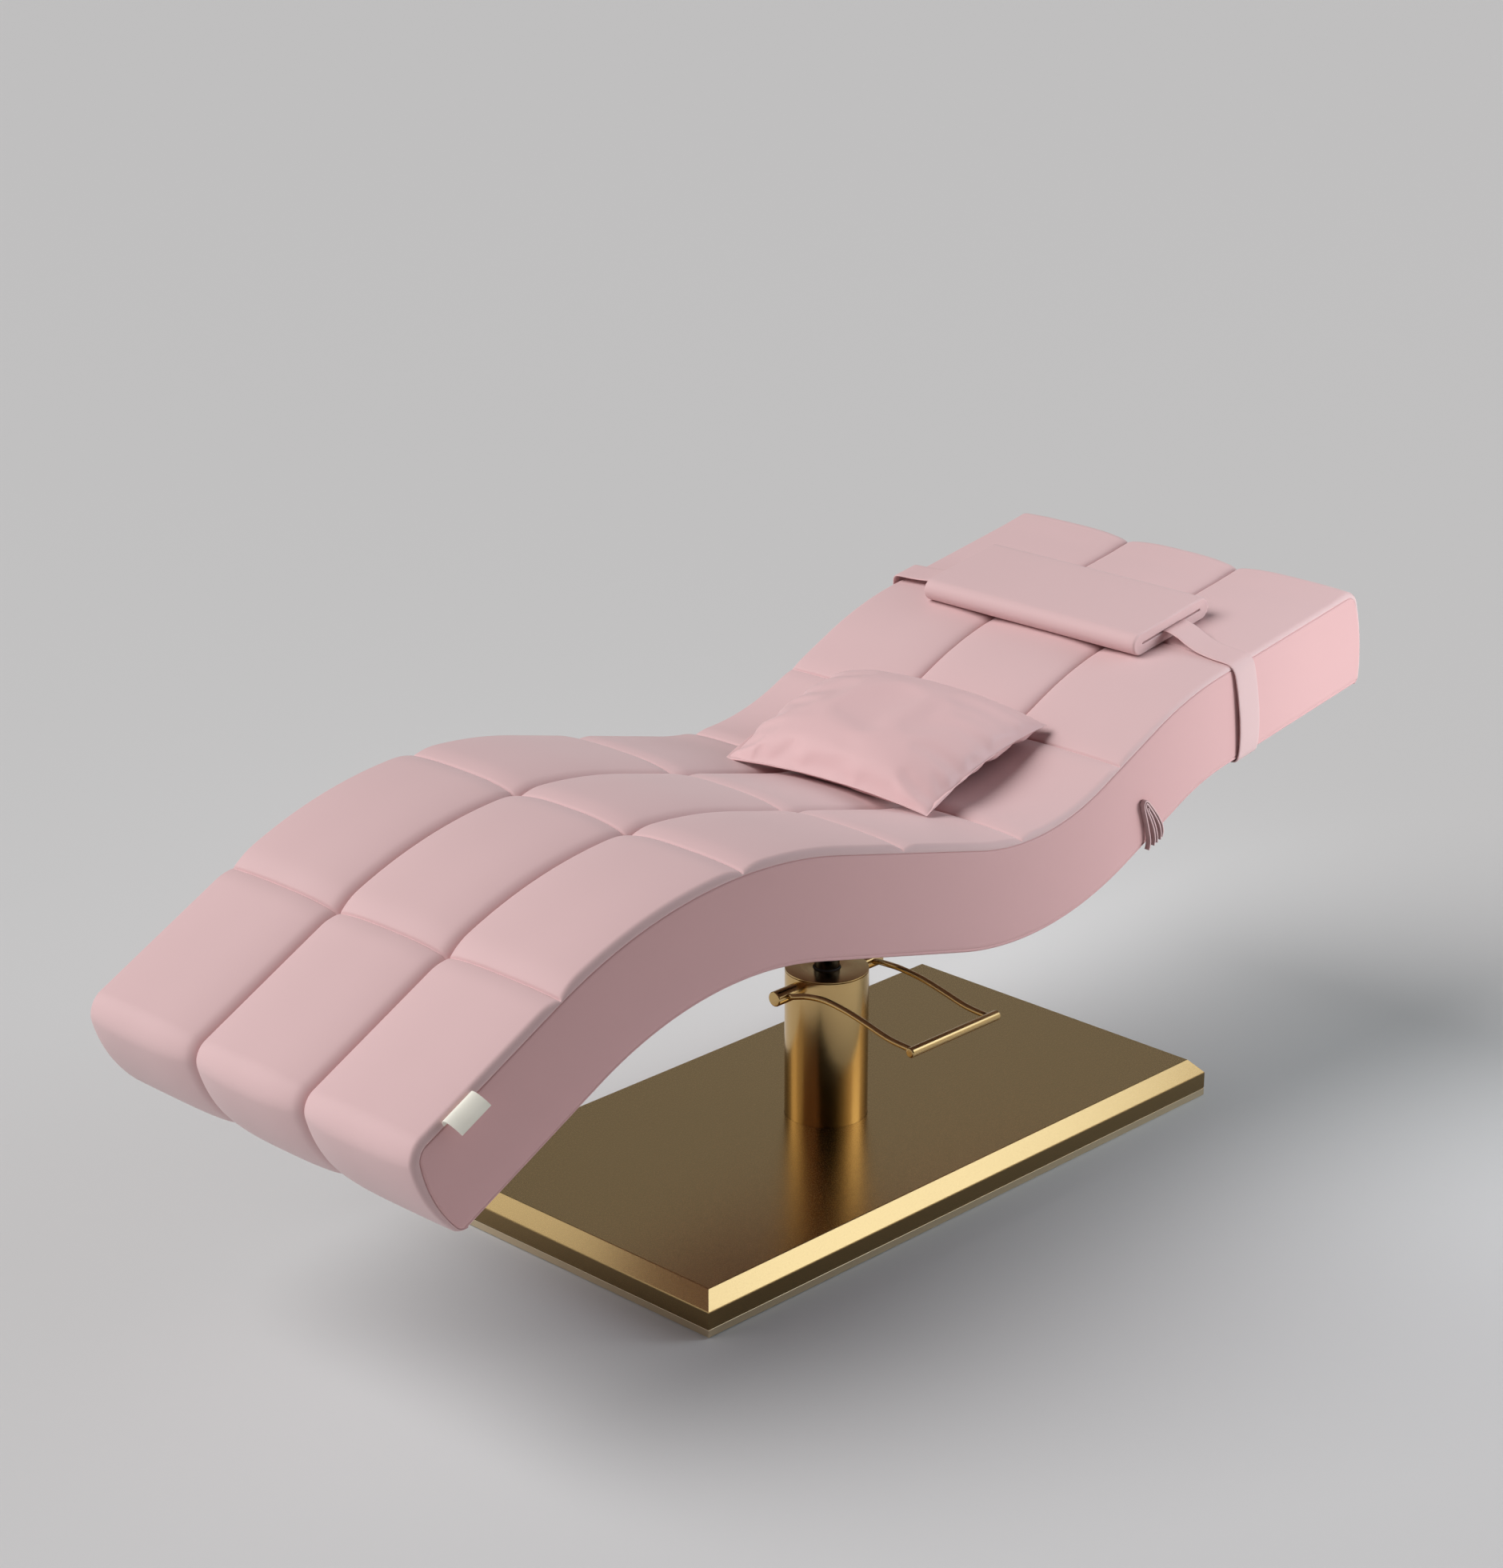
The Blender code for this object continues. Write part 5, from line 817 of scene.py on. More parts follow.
def cut_away(piece, tool_mesh):
    """Cut one closed mesh out of a piece for good."""
    cutter = put_in_scene("cutter", tool_mesh)
    hole = piece.modifiers.new("hole", "BOOLEAN")
    hole.solver = "EXACT"
    hole.operation = "DIFFERENCE"
    hole.object = cutter
    keep_shape(piece)
    bpy.data.objects.remove(cutter)


def keep_shape(piece):
    """Make the result of a piece's modifiers its own mesh."""
    bpy.context.view_layer.update()
    result = piece.evaluated_get(bpy.context.evaluated_depsgraph_get())
    shaped = bpy.data.meshes.new_from_object(result)
    piece.modifiers.clear()
    piece.data = shaped


lining_mesh = slab("underside_lining", 0.0105, SEAM_LENGTH - 0.008, CORE_HALF,
                   top=BED_DEPTH - LINING_THICKNESS, low=BED_DEPTH, radius=0.0015)
lining = add_piece("underside_lining", lining_mesh, lining_cloth, "bed",
                   ["bottom_panel"])
cut_away(lining, ring_mesh("opening", turned(OPENING, 64), ends="open"))

foam_mesh = slab("foam_slab", FOAM_END, SEAM_LENGTH - FOAM_END, CORE_HALF,
                 top=0.0303, low=0.0778, radius=0.003)
foam = add_piece("foam_slab", foam_mesh, foam_finish, "bed", ["foam_core"])

# %% [markdown]
# ## The head pad
# A flat foam pad with round long edges, wrapped in the same leather. A slit runs through
# it from end to end for its strap. The grid closes both ways: out through the slit, round
# the end face, back along the outside and in at the other end.

# %% The head pad
PAD_LENGTH = 0.398
PAD_WIDTH = 0.174
PAD_THICKNESS = 0.033
PAD_SHIFT = 0.019
PAD_STATION = 1.6315
PAD_LIFT = 0.0037
PAD_EDGE = 0.0030
PAD_CROWN = 0.0012
SLIT_HALF, SLIT_RADIUS, SLIT_INSET = 0.067, 0.0014, 0.0010
# How far an end face lies in, at shares of the way from the slit to the outside.
PAD_FACE = ((0.0, SLIT_INSET), (0.02, 0.0004), (0.05, 0.0002), (0.3, 0.0004), (0.6, 0.0004),
            (0.74, 0.0002))


def stadium(half, radius, count):
    """Points round a bar with half-round ends, as (along, up), a quarter on each stretch."""
    turn = np.linspace(-math.pi / 2.0, math.pi / 2.0, count // 4, endpoint=False)
    right = np.stack([half - radius + radius * np.cos(turn), radius * np.sin(turn)], -1)
    share = np.linspace(1.0, -1.0, count // 4, endpoint=False)[:, None]
    line = share * (half - radius, 0.0) + (0.0, radius)
    return np.concatenate([right, line, -right, -line])


def pad_point(along, up, y):
    """A point in the head section's own directions, from the pad's middle on the seam."""
    return local_point(PAD_STATION, along, up, y)


def head_pad():
    """Rings out through the slit, over one end face, back along the outside and in again."""
    outer = stadium(PAD_WIDTH / 2.0, PAD_THICKNESS / 2.0, 96)
    slit = stadium(SLIT_HALF, SLIT_RADIUS, 96)
    half = PAD_LENGTH / 2.0
    end = [(slit + (outer - slit) * share, half - sink) for share, sink in PAD_FACE]
    for angle in np.linspace(0.0, math.pi / 2.0, 7):
        inset = PAD_EDGE * (1.0 - math.sin(angle))
        shrunk = outer * (1.0 - inset / np.array((PAD_WIDTH / 2.0, PAD_THICKNESS / 2.0)))
        end.append((shrunk, half - PAD_EDGE * (1.0 - math.cos(angle))))
    rings = [(slit, share * (half - SLIT_INSET)) for share in np.linspace(-1.0, 1.0, 9)] + end
    for share in np.linspace(1.0, -1.0, 41)[1:-1]:
        across = 1.0 - (outer[:, 0] / (PAD_WIDTH / 2.0)) ** 4
        crown = PAD_CROWN * (1.0 - share ** 4) * across * (outer[:, 1] > 0)
        rings.append((outer + np.stack([0.0 * crown, crown], -1), share * (half - PAD_EDGE)))
    rings += [(ring, -place) for ring, place in end[::-1]]
    section = np.stack([ring for ring, _ in rings])
    y = PAD_SHIFT + np.array([place for _, place in rings])[:, None] + np.zeros(96)
    up = PAD_LIFT + PAD_THICKNESS / 2.0 + section[..., 1]
    return ring_mesh("head_pad_soft", pad_point(section[..., 0], up, y), ends="joined")


pad = add_piece("head_pad_soft", head_pad(), pink_leather, "head_rest",
                ["head_pad"])

# %% [markdown]
# ## The strap
# A flat band goes through the pad's slit, slopes down to the edge of the bed, turns over
# it and closes under the bed with a hook-and-loop patch. Its centre line is a closed path
# with rounded corners, and its section is a thin rectangle with round edges.

# %% The strap's path and band
STRAP_WIDTH = 0.045
STRAP_THICKNESS = 0.0024
STRAP_SHIFT = -0.008


def resample(path, pitch):
    """Points evenly spread along a closed path."""
    closed = np.concatenate([path, path[:1]])
    length = np.concatenate([[0.0], np.cumsum(np.linalg.norm(np.diff(closed, axis=0), axis=1))])
    keep = np.concatenate([[True], np.diff(length) > 1e-9])
    goal = np.linspace(0.0, length[-1], int(length[-1] / pitch), endpoint=False)
    return np.stack([np.interp(goal, length[keep], closed[keep, axis])
                     for axis in range(path.shape[1])], -1)


def band_section():
    """A thin rectangle with round edges, as (across, out) points."""
    angle = np.linspace(-math.pi / 2.0, math.pi / 2.0, 5)
    radius = STRAP_THICKNESS / 2.0
    flat = STRAP_WIDTH / 2.0 - radius
    right = np.stack([flat + radius * np.cos(angle), radius * np.sin(angle)], -1)
    top = np.linspace(0.8, -0.8, 5)[:, None] * (flat, 0.0) + (0.0, radius)
    return np.concatenate([right, top, -right, -top])


# Across the bed, up from the seam and along it, in millimetres.
STRAP_KNOTS = ((205, 20.2, -16), (100, 20.2, -9), (-50, 20.2, 0), (-172, 20.2, 4),
    (-190, 20.5, 3), (-207, 18, 0), (-226, 12.2, -4), (-248, 7.4, -8), (-275, 5.2, -11),
    (-297, 4.5, -12), (-308.5, 2.2, -12), (-315, -6.2, -11), (-316.8, -20, -10),
    (-318.2, -45, -9.5), (-319, -80, -9.5), (-318.3, -110, -11), (-316, -133, -13),
    (-311, -146, -14), (-301, -149.2, -14), (-285, -147.6, -14), (-230, -146.6, -14),
    (-80, -146.4, -10), (80, -146.4, -12), (230, -146.6, -18), (285, -147.6, -20),
    (301, -149.2, -21), (311, -146, -22), (316, -133, -22), (318.3, -100, -23), (318.6, -60, -24),
    (317.8, -20, -25), (317, 1, -25), (313, 9.2, -25), (305, 11.8, -25), (280, 12.2, -23),
    (250, 14, -20), (225, 19.5, -17))


def head_strap():
    """The band's section carried round the closed path, square to it."""
    path = resample(smooth_curve(np.array(STRAP_KNOTS) / 1000.0, 12, closed=True), 0.0025)
    ahead = np.roll(path, -1, 0) - np.roll(path, 1, 0)
    out = np.stack([ahead[:, 1], -ahead[:, 0]], -1)
    out /= np.linalg.norm(out, axis=1)[:, None]
    if (out[:, 0] * path[:, 0]).sum() < 0:
        out = -out
    section = band_section()
    y, up = (path[:, None, axis] + out[:, None, axis] * section[:, 1] for axis in (0, 1))
    along = path[:, None, 2] + section[:, 0]
    return ring_mesh("head_strap_band", pad_point(along, up, y), ends="joined")


add_piece("head_strap_band", head_strap(), pink_trim, "head_rest", ["head_strap"])


# %% The strap's patch
PATCH_LENGTH, PATCH_WIDTH, PATCH_THICKNESS = 0.080, 0.041, 0.0020
PATCH_TOP = -BED_DEPTH - 0.0012 - STRAP_THICKNESS - 0.0003


def strap_patch():
    """A small mat with rounded edges, under the bed on the strap."""
    share = np.array((0.0, 0.0, 0.3, 0.7, 1.0, 1.0))[:, None]
    inset = np.array((0.003, 0.0006, 0.0, 0.0, 0.0006, 0.003))[:, None]
    square = oval(64, 0.25, 0.25)
    y = square[:, 0] * (PATCH_LENGTH / 2.0 - inset)
    along = STRAP_SHIFT + square[:, 1] * (PATCH_WIDTH / 2.0 - inset)
    up = PATCH_TOP - share * PATCH_THICKNESS + 0.0 * y
    return ring_mesh("strap_patch", pad_point(along, up, y))


add_piece("strap_patch", strap_patch(), lining_cloth, "head_rest",
          ["strap_fastener"])

# %% [markdown]
# ## The keeper and the tag
# Low on the near side a band is folded into three nested arches, seen edge-on. Further
# towards the foot a cream ribbon is sewn into the seam: a bare loop that curls outwards.


# %% The folded keeper
KEEPER_STATION = 1.361
KEEPER_HALF_THICKNESS = 0.0014
KEEPER_HALF_WIDTH = 0.0042
KEEPER_GAP = 0.0029
# Along the bed and down from the seam, in millimetres.
KEEPER_LINES = (
    ((-29, 147.5), (-25, 143.5), (-20.5, 135), (-17.2, 118), (-14.6, 99), (-13, 84), (-10.2, 77),
     (-5.5, 76), (-1.6, 82), (4.4, 101), (8.4, 119), (9.6, 133), (7.2, 143), (2, 149)),
    ((-17, 149), (-11.5, 141), (-8.2, 127), (-8, 109), (-9.3, 93), (-9.4, 84), (-7.2, 80.2),
     (-4.9, 82), (0.2, 100), (3.6, 117), (4.6, 131), (2, 143), (-2.5, 150)),
    ((-9.5, 149.5), (-5.6, 140), (-3.4, 125), (-3.7, 109), (-5.6, 96), (-6.3, 88)))


def folded_keeper():
    """Three ribbons seen edge-on: each is a thin section carried along its own loop."""
    section = oval(20, 0.6, 0.35) * (KEEPER_HALF_THICKNESS, KEEPER_HALF_WIDTH)
    tubes = []
    for knots in KEEPER_LINES:
        line = smooth_curve(np.array(knots) / 1000.0, 8)
        y = np.full(len(line), -HALF_WIDTH - KEEPER_GAP - KEEPER_HALF_WIDTH)
        path = local_point(KEEPER_STATION, line[:, 0], -line[:, 1], y)
        tubes.append(tube_points(path, section, (0.0, 1.0, 0.0)))
    return ring_mesh("keeper_loops", *tubes)


add_piece("keeper_loops", folded_keeper(), folded_leather_painted_shade, "bed", ["folded_keeper"])


# %% The sewn tag
TAG_STATION, TAG_HALF_LENGTH, TAG_HALF_THICKNESS = 0.0738, 0.0255, 0.0007
TAG_SKEW, TAG_WAVE, TAG_WAVE_TURN = 0.0028, 0.0005, 160.0
# Out from the bed's middle and up from the seam.
TAG_LINE = ((0.3108, -0.0030), (0.3116, 0.0020), (0.3130, 0.0052), (0.3155, 0.0068),
            (0.3195, 0.0064), (0.3250, 0.0030), (0.3310, -0.0030), (0.3360, -0.0100))


def ribbon_tag():
    """A folded ribbon out of the seam: it bends over and hangs, with a round folded end."""
    line = smooth_curve(TAG_LINE, 6)
    ahead = np.gradient(line, axis=0)
    ahead /= np.linalg.norm(ahead, axis=1)[:, None]
    normal = np.stack([-ahead[:, 1], ahead[:, 0]], -1)
    half = TAG_HALF_THICKNESS
    angle = np.linspace(math.pi / 2.0, -math.pi / 2.0, 7)[1:-1, None]
    fold = line[-1] + half * (np.cos(angle) * ahead[-1] + np.sin(angle) * normal[-1])
    loop = np.concatenate([line + half * normal, fold, (line - half * normal)[::-1]])
    reach = np.clip((loop[:, 0] - line[0, 0]) / (line[-1, 0] - line[0, 0]), 0.0, 1.0)
    along = np.linspace(-TAG_HALF_LENGTH, TAG_HALF_LENGTH, 30)[:, None]
    wave = TAG_WAVE * np.sin(along * TAG_WAVE_TURN + 0.6) * reach
    ring = bed_point(TAG_STATION + along + TAG_SKEW * reach, loop[None, :, 1] + wave,
                     -(loop[None, :, 0] + wave))
    return ring_mesh("ribbon_tag", ring, sharp=50.0)


add_piece("ribbon_tag", ribbon_tag(), cream_ribbon, "bed", ["side_tag"])

# %% [markdown]
# ## The pillow
# A small loose pillow is two sheets sewn round a nearly straight rim and filled. The
# formula gives its plump form with shallow puckers along the rim. A short cloth
# simulation with the rim held then lets air pressure settle the stiff sheets, which
# turns the puckers into soft folds.

# %% The pillow's form
PILLOW_LENGTH = 0.360
PILLOW_WIDTH = 0.280
PILLOW_CROWN = 0.048
PILLOW_BELLY = 0.037
PILLOW_DROOP = 0.012
PUCKER_DEPTH, LONG_SIDE_SHARE = 0.0042, 0.20
RIM_RISE, SHORT_FADE, LONG_FADE = 0.05, 0.16, 0.14
RIM_BOW, RIM_FLANGE, RIM_FLANGE_WIDTH = 0.004, 0.0008, 0.004
PILLOW_ROWS, PILLOW_COLUMNS = 58, 74


def fullness(share):
    """Height share between two sewn sides: (1 - |s|^2.6)^0.52, full and steep at the rim."""
    return np.clip(1.0 - np.abs(share) ** 2.6, 0.0, 1.0) ** 0.52


def near_rim(place, fade):
    """Nothing on the rim itself, most just inside it, and fading inwards."""
    gap = 1.0 - np.abs(place)
    return np.sin(np.clip(gap / RIM_RISE, 0.0, 1.0) * math.pi / 2.0) * np.exp(-gap / fade)


def pucker(v, u):
    """Waves along the rim, deeper along the short sides than along the long ones."""
    short = np.sin(15.0 * v + 1.1 * np.sign(u) + 2.0 * u) + 0.5 * np.sin(27.0 * v + 2.0)
    long = np.sin(13.0 * u + 0.7 * np.sign(v)) + 0.4 * np.sin(24.0 * u + 1.3)
    return (near_rim(u, SHORT_FADE) * (1.0 - v ** 4) * short
            + LONG_SIDE_SHARE * (near_rim(v, LONG_FADE) * (1.0 - u ** 4) * long))


def sewn_pillow():
    """Two sheets that share their rim, as x across, y along and z the height of each."""
    spread = [np.linspace(-1.0, 1.0, count) for count in (PILLOW_ROWS, PILLOW_COLUMNS)]
    v, u = np.meshgrid(*[np.sign(s) * (1.0 - (1.0 - np.abs(s)) ** 1.25) for s in spread],
                       indexing="ij")
    x = v * (PILLOW_WIDTH / 2.0 - RIM_BOW * (1.0 - u ** 2))
    y = u * (PILLOW_LENGTH / 2.0 - RIM_BOW * (1.0 - v ** 2))
    body = fullness(u / 0.985) * fullness(v / 0.982)
    from_rim = 1.0 - np.maximum(np.abs(u), np.abs(v))
    flange = RIM_FLANGE * np.sqrt(np.clip(from_rim / RIM_FLANGE_WIDTH, 0.0, 1.0))
    points = [np.stack([x, y, sign * (height * body + flange + PUCKER_DEPTH * pucker(v, u))], -1)
              for sign, height in ((1.0, PILLOW_CROWN), (-1.0, PILLOW_BELLY))]
    return make_mesh("loose_pillow", np.stack(points), sheet_faces(PILLOW_ROWS, PILLOW_COLUMNS))


def coordinates(mesh):
    values = np.zeros(len(mesh.vertices) * 3)
    mesh.vertices.foreach_get("co", values)
    return values.reshape(-1, 3)


# %% Settle the pillow
SHEET = {"quality": 8, "mass": 0.15, "tension_stiffness": 40.0, "compression_stiffness": 40.0,
         "shear_stiffness": 10.0, "bending_stiffness": 8.0, "vertex_group_mass": "rim",
         "use_pressure": True, "uniform_pressure_force": 1.2}
SETTLE_FRAMES = 14


def settle(piece):
    """Blow the sheets up a little in a cloth simulation, and keep the last frame's shape."""
    rim = np.flatnonzero(np.abs(coordinates(piece.data)[:, 2]) < 1e-7)
    piece.vertex_groups.new(name="rim").add(rim.tolist(), 1.0, "REPLACE")
    cloth = piece.modifiers.new("filling", "CLOTH")
    for key, value in SHEET.items():
        setattr(cloth.settings, key, value)
    cloth.settings.effector_weights.gravity = 0.0
    cloth.point_cache.frame_start = 1
    cloth.point_cache.frame_end = SETTLE_FRAMES
    for step in range(1, SETTLE_FRAMES + 1):
        bpy.context.scene.frame_set(step)
    keep_shape(piece)
    piece.vertex_groups.clear()
    bpy.context.scene.frame_set(1)


pillow = put_in_scene("loose_pillow", sewn_pillow())
settle(pillow)
shape = coordinates(pillow.data)
print("filled pillow: %.0f x %.0f x %.0f mm" % tuple(1000.0 * np.ptp(shape, axis=0)))

# %% [markdown]
# ## Laying the pillow down
# The settled pillow is scaled to the photographed size and its corners sink. Then it is
# tilted so that its head side rests on the rising back, and moved to the CAD pillow's place.

# %% Place the pillow
shape[:, :2] *= np.array((PILLOW_WIDTH, PILLOW_LENGTH)) / np.ptp(shape[:, :2], axis=0)
shape[:, 2] *= np.where(shape[:, 2] > 0.0, PILLOW_CROWN / shape[:, 2].max(),
                        -PILLOW_BELLY / shape[:, 2].min())
corner_share = (2.0 * shape[:, 0] / PILLOW_WIDTH) ** 2 * (2.0 * shape[:, 1] / PILLOW_LENGTH) ** 2
shape[:, 2] -= PILLOW_DROOP * corner_share
lay = Matrix.Rotation(math.radians(4.0), 3, "Z") @ Matrix.Rotation(math.radians(-12.0), 3, "Y")
shape = shape @ np.array(lay).T
low, high = (np.array(corner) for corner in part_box("pillow"))
middle = (low + high) / 2.0
own = (shape.min(0) + shape.max(0)) / 2.0
shape += middle - own
shape[:, 2] += low[2] - shape[:, 2].min()
pillow.data.vertices.foreach_set("co", shape.ravel())
pillow.data.update()
shade_smooth(pillow.data)
pillow.data.materials.clear()
pillow.data.materials.append(pillow_satin)
smooth = pillow.modifiers.new("smooth", "SUBSURF")
smooth.levels = smooth.render_levels = 1
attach(pillow, "pillow")
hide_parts("pillow")

# %% [markdown]
# ## Gold pieces
# The column, its lid, the pedal and the base are what the light plays on, so they are
# turned with many sides and every edge has a small radius: real metal is never quite
# sharp, and that radius is what catches the light along an edge.

# %% Column, lid and rod
COLUMN_RADIUS, COLUMN_BORE, COLUMN_TOP = 0.0595, 0.0565, 0.2815
LID_LOW, LID_INNER, LID_GROOVE, ROD_HOLE = 0.2785, 0.0542, 0.0562, 0.0195


def turned_piece(name, profile, radius, stands_for):
    """A gold piece of the base: a profile with rounded corners, turned about Z."""
    mesh = ring_mesh(name, turned(rounded(profile, radius), 160), ends="open", sharp=40.0)
    return add_piece(name, mesh, gold_turned, "base", [stands_for])


tube_low, tube_high = (corner.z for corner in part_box("column_tube"))
tube_middle = (tube_low + tube_high) / 2.0
turned_piece("column_sleeve", [
    (COLUMN_BORE, tube_middle), (COLUMN_BORE, tube_low), (COLUMN_RADIUS, tube_low),
    (COLUMN_RADIUS, tube_high), (COLUMN_BORE, tube_high), (COLUMN_BORE, tube_middle)],
    0.0003, "column_tube")
cap_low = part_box("column_cap")[0].z
turned_piece("column_lid", [
    (0.040, LID_LOW), (LID_INNER, LID_LOW), (LID_INNER, cap_low), (LID_GROOVE, cap_low),
    (LID_GROOVE, LID_LOW), (COLUMN_RADIUS, LID_LOW), (COLUMN_RADIUS, COLUMN_TOP),
    (ROD_HOLE, COLUMN_TOP), (ROD_HOLE, LID_LOW), (0.040, LID_LOW)], 0.0012, "column_cap")


# %% [markdown]
# ## Pedal
# Two stub shafts come out of the column, two bent arms lead from them to the foot bar.
# Round bars along X are the same turned shapes laid on their side, and the arms are tubes
# carried along a smooth curve.

# %% Pedal
SHAFT_HEIGHT = 0.264
STUB_START, STUB_END, STUB_RADIUS = 0.031, 0.1075, 0.011
ARM_X, ARM_FLARE, ARM_RISE, ARM_DIP, ARM_RADIUS = 0.079, 0.009, 0.0103, 0.0134, 0.0043
ARM_START, ARM_END = 0.0113, 0.2305
# Share of the way to the foot bar, and shares of the rise, the dip and the flare there.
ARM_GUIDES = ((0.0, 0.17, 0.0, 1.0), (0.035, 0.35, 0.0, 1.0), (0.13, 0.78, 0.0, 0.35),
              (0.27, 1.0, 0.0, 0.0), (0.45, 0.65, 0.0, 0.0), (0.63, 0.0, 0.09, 0.0),
              (0.82, 0.0, 0.78, 0.0), (1.0, 0.0, 1.0, 0.0))


def round_bar(name, start, end, radius, bevel, y, z, stands_for):
    """A gold bar of the pedal: turned about Z and then laid along X."""
    profile = rounded([(0.0, start), (radius, start), (radius, end), (0.0, end)], bevel, 7)
    points = turned(profile, 64)
    lying = np.stack([points[..., 2], y + points[..., 0], z + points[..., 1]], -1)
    mesh = ring_mesh(name, lying, ends="open", sharp=40.0)
    return add_piece(name, mesh, gold_turned, "pedal", [stands_for])


def pedal_arm(name, sign):
    """A round bar bent along the guide points, from a stub shaft to the foot bar."""
    knots = [(sign * (ARM_X + flare * ARM_FLARE), -ARM_START - share * (ARM_END - ARM_START),
              SHAFT_HEIGHT + rise * ARM_RISE - dip * ARM_DIP)
             for share, rise, dip, flare in ARM_GUIDES]
    tube = tube_points(smooth_curve(knots, 10), ARM_RADIUS * oval(32), (1.0, 0.0, 0.0))
    return ring_mesh(name, tube, sharp=50.0)


round_bar("pedal_stub_foot_side", -STUB_END, -STUB_START, STUB_RADIUS, 0.0022, 0.0, SHAFT_HEIGHT,
          "pedal_shaft_foot_side")
round_bar("pedal_stub_head_side", STUB_START, STUB_END, STUB_RADIUS, 0.0022, 0.0, SHAFT_HEIGHT,
          "pedal_shaft_head_side")
round_bar("pedal_foot_bar", -0.091, 0.091, 0.0072, 0.0026, -0.238, 0.2515, "foot_bar")
for arm_side, sign in (("foot_side", -1.0), ("head_side", 1.0)):
    name = "pedal_rod_" + arm_side
    add_piece(name, pedal_arm(name, sign), gold_turned, "pedal",
              ["pedal_arm_" + arm_side])


# %% [markdown]
# ## The return spring
# Inside the column a coil pushes the plunger and the pedal up. It stands on the pump and reaches up
# to the plunger, in the place of the imported spring, which it hides.

# %% Return spring
SPRING_TURNS = 5
WIRE_RADIUS = 0.0008


def spring_coil(low, high):
    """A round wire along a helix: the angle grows evenly with the height."""
    middle = (low + high) / 2.0
    radius = (high[0] - low[0]) / 2.0 - WIRE_RADIUS
    angle = np.linspace(0.0, 2.0 * math.pi * SPRING_TURNS, SPRING_TURNS * 32 + 1)
    path = np.stack([middle[0] + radius * np.cos(angle), middle[1] + radius * np.sin(angle),
                     np.linspace(low[2] + WIRE_RADIUS, high[2] - WIRE_RADIUS, len(angle))], -1)
    tube = tube_points(path, WIRE_RADIUS * oval(12), (0.0, 0.0, 1.0))
    return ring_mesh("spring_coil", tube, sharp=60.0)


spring_low, spring_high = (np.array(corner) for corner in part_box("return_spring"))
coil = put_in_scene("spring_coil", spring_coil(spring_low, spring_high))
coil.data.materials.append(bright_steel)
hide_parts("return_spring")
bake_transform(coil)

# %% [markdown]
# ## Base
# The base is a folded cover on a thick plate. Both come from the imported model: a copy is
# welded, because its triangles are loose, and then its edges get a fine bevel.

# %% Bevelled copies of the base
def bevelled_copy(node_name, name, width, finish):
    """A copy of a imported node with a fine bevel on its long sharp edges."""
    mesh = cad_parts[node_name].data.copy()
    work = bmesh.new()
    work.from_mesh(mesh)
    bmesh.ops.remove_doubles(work, verts=work.verts, dist=1e-5)
    bmesh.ops.dissolve_limit(work, angle_limit=0.02, verts=work.verts, edges=work.edges)
    sharp = [edge for edge in work.edges if len(edge.link_faces) == 2
             and edge.calc_face_angle() > math.radians(30.0) and edge.calc_length() > 0.05]
    bmesh.ops.bevel(work, geom=sharp, offset=width, segments=3, profile=0.5, affect="EDGES")
    bmesh.ops.triangulate(work, faces=[face for face in work.faces if len(face.verts) > 4])
    work.to_mesh(mesh)
    work.free()
    shade_smooth(mesh, 20.0)
    piece = add_piece(name, mesh, finish, "base", [node_name])
    piece.modifiers.new("flat_faces", "WEIGHTED_NORMAL").keep_sharp = True


bevelled_copy("base_cover", "base_shell", 0.0013, gold_satin)
bevelled_copy("base_plate", "base_foot_plate", 0.0006, gold_polished)

# %% [markdown]
# ## Floor and light
# The object stands on a plain pale floor. The key is a very wide sun over the bed's far
# side, left out of mirror reflections. One soft panel lights the head end, a cool one on
# the right puts the bright reflection on the gold edge, and a weaker one stands on the
# left. The room is dark apart from three soft fields, and the camera sees a pale backdrop.

# %% Floor
FLOOR = [(-40, -40, 0), (40, -40, 0), (40, 40, 0), (-40, 40, 0)]
floor_mesh = bpy.data.meshes.new("floor")
floor_mesh.from_pydata(FLOOR, [], [(0, 1, 2, 3)])
floor = put_in_scene("floor", floor_mesh)
floor_mesh.materials.append(new_finish("pale_floor", (0.675, 0.667, 0.667), 0.9)[0])


# %% Lamps
def toward(azimuth, elevation):
    """Unit vector to a compass direction in degrees, counter-clockwise from +X."""
    turn, lift = math.radians(azimuth), math.radians(elevation)
    flat = math.cos(lift)
    return Vector((math.cos(turn) * flat, math.sin(turn) * flat, math.sin(lift)))


def hang(lamp, place, direction):
    """Put a lamp at a place, shining along a direction."""
    holder = put_in_scene(lamp.name, lamp)
    holder.location = place
    holder.rotation_euler = Vector(direction).to_track_quat("-Z", "Y").to_euler()
    return holder


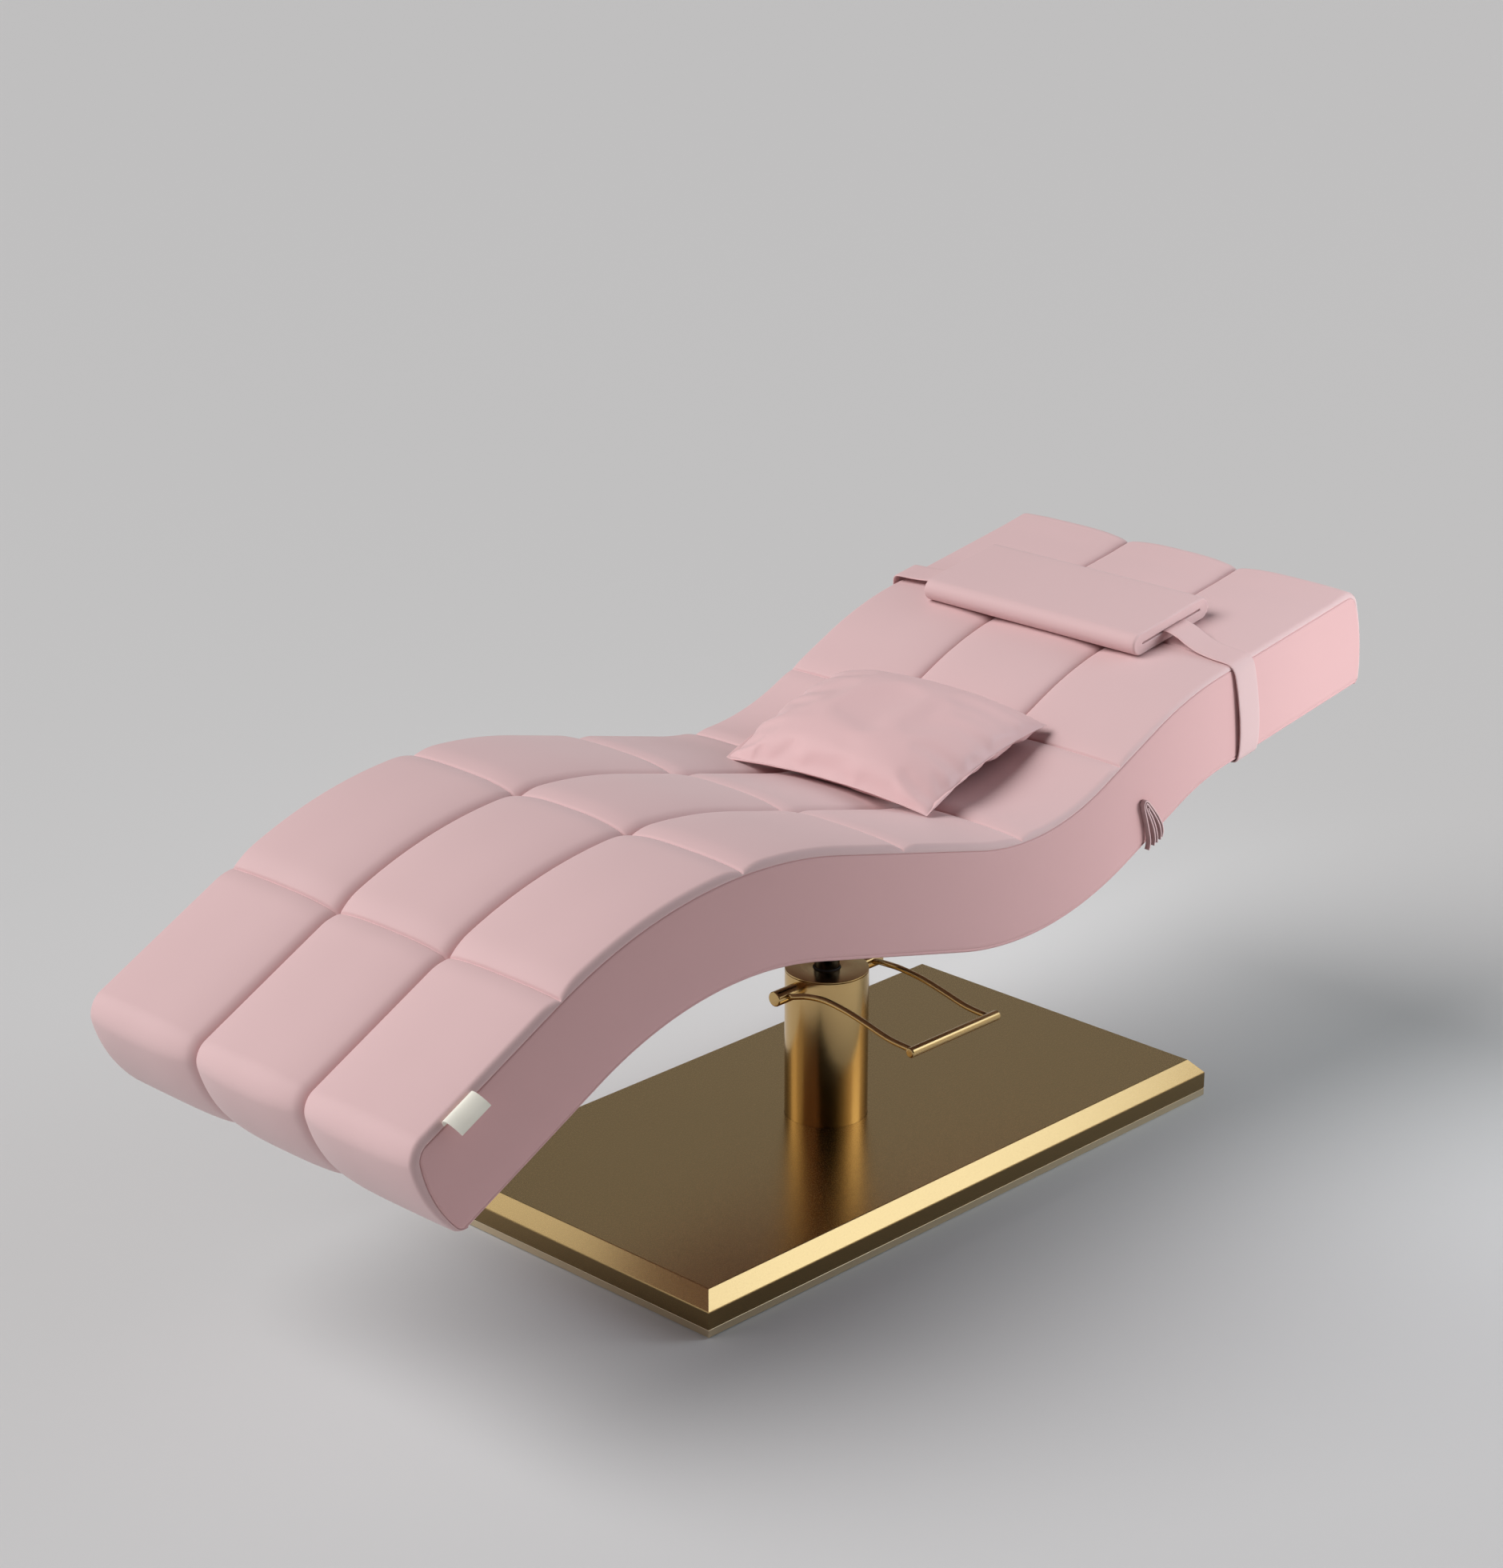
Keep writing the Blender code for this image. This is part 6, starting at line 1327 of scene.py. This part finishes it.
def soft_panel(name, place, target, size, power, color):
    """A rectangular lamp that shines at a target within a cone of 80 degrees."""
    lamp = bpy.data.lights.new(name, "AREA")
    lamp.color = color
    lamp.shape = "RECTANGLE"
    lamp.size, lamp.size_y = size
    lamp.energy = power
    lamp.spread = math.radians(80.0)
    return hang(lamp, place, Vector(target) - Vector(place))


key = bpy.data.lights.new("key", "SUN")
key.energy = 2.75
key.angle = math.radians(46.0)
hang(key, (-2.0, 1.4, 3.0), -toward(145.0, 46.0)).visible_glossy = False
head = soft_panel("panel_head", (1.17, -1.38, 0.76), (0.64, -0.3, 0.53), (0.8, 0.8), 3.55,
                  (0.92, 1.0, 0.99))
head.visible_glossy = False
soft_panel("panel_right", (1.45, -1.50, 1.52), (-0.1, -0.28, 0.05), (1.2, 1.0), 1.1,
           (0.58, 0.76, 1.0))
soft_panel("panel_left", (-1.5, 2.3, 1.6), (0.0, 0.0, 0.2), (1.2, 1.2), 0.5, (0.9, 0.97, 1.0))


# %% Studio walls
BACKDROP = 0.53
LOBES = ((44.0, 10.0, 0.28), (134.0, 25.0, 0.58), (314.0, 25.0, 0.90))


def studio_world():
    """A dark room with soft bright fields: each adds strength times cos(angle off it)^6.

    The camera itself sees an even pale backdrop above the floor's edge.
    """
    world = bpy.data.worlds.new("studio")
    bpy.context.scene.world = world
    world.use_nodes = True
    tree = world.node_tree
    where = coordinate(tree, "Generated")
    total = 0.0
    for azimuth, elevation, strength in LOBES:
        facing = add_node(tree, "ShaderNodeVectorMath", {
            0: where, 1: toward(azimuth, elevation)}, operation="DOT_PRODUCT")
        lit = calculate(tree, "MAXIMUM", facing.outputs["Value"], 0.0)
        total = calculate(tree, "MULTIPLY_ADD", calculate(tree, "POWER", lit, 6.0), strength, total)
    seen = tree.nodes.new("ShaderNodeLightPath").outputs["Is Camera Ray"]
    pale = add_node(tree, "ShaderNodeMix", {"Factor": seen, "A": total, "B": BACKDROP})
    feed(tree, tree.nodes["Background"], {
        "Strength": pale.outputs[0], "Color": (1.0, 1.0, 1.0, 1.0)})


studio_world()
bpy.context.scene.view_settings.view_transform = "Standard"
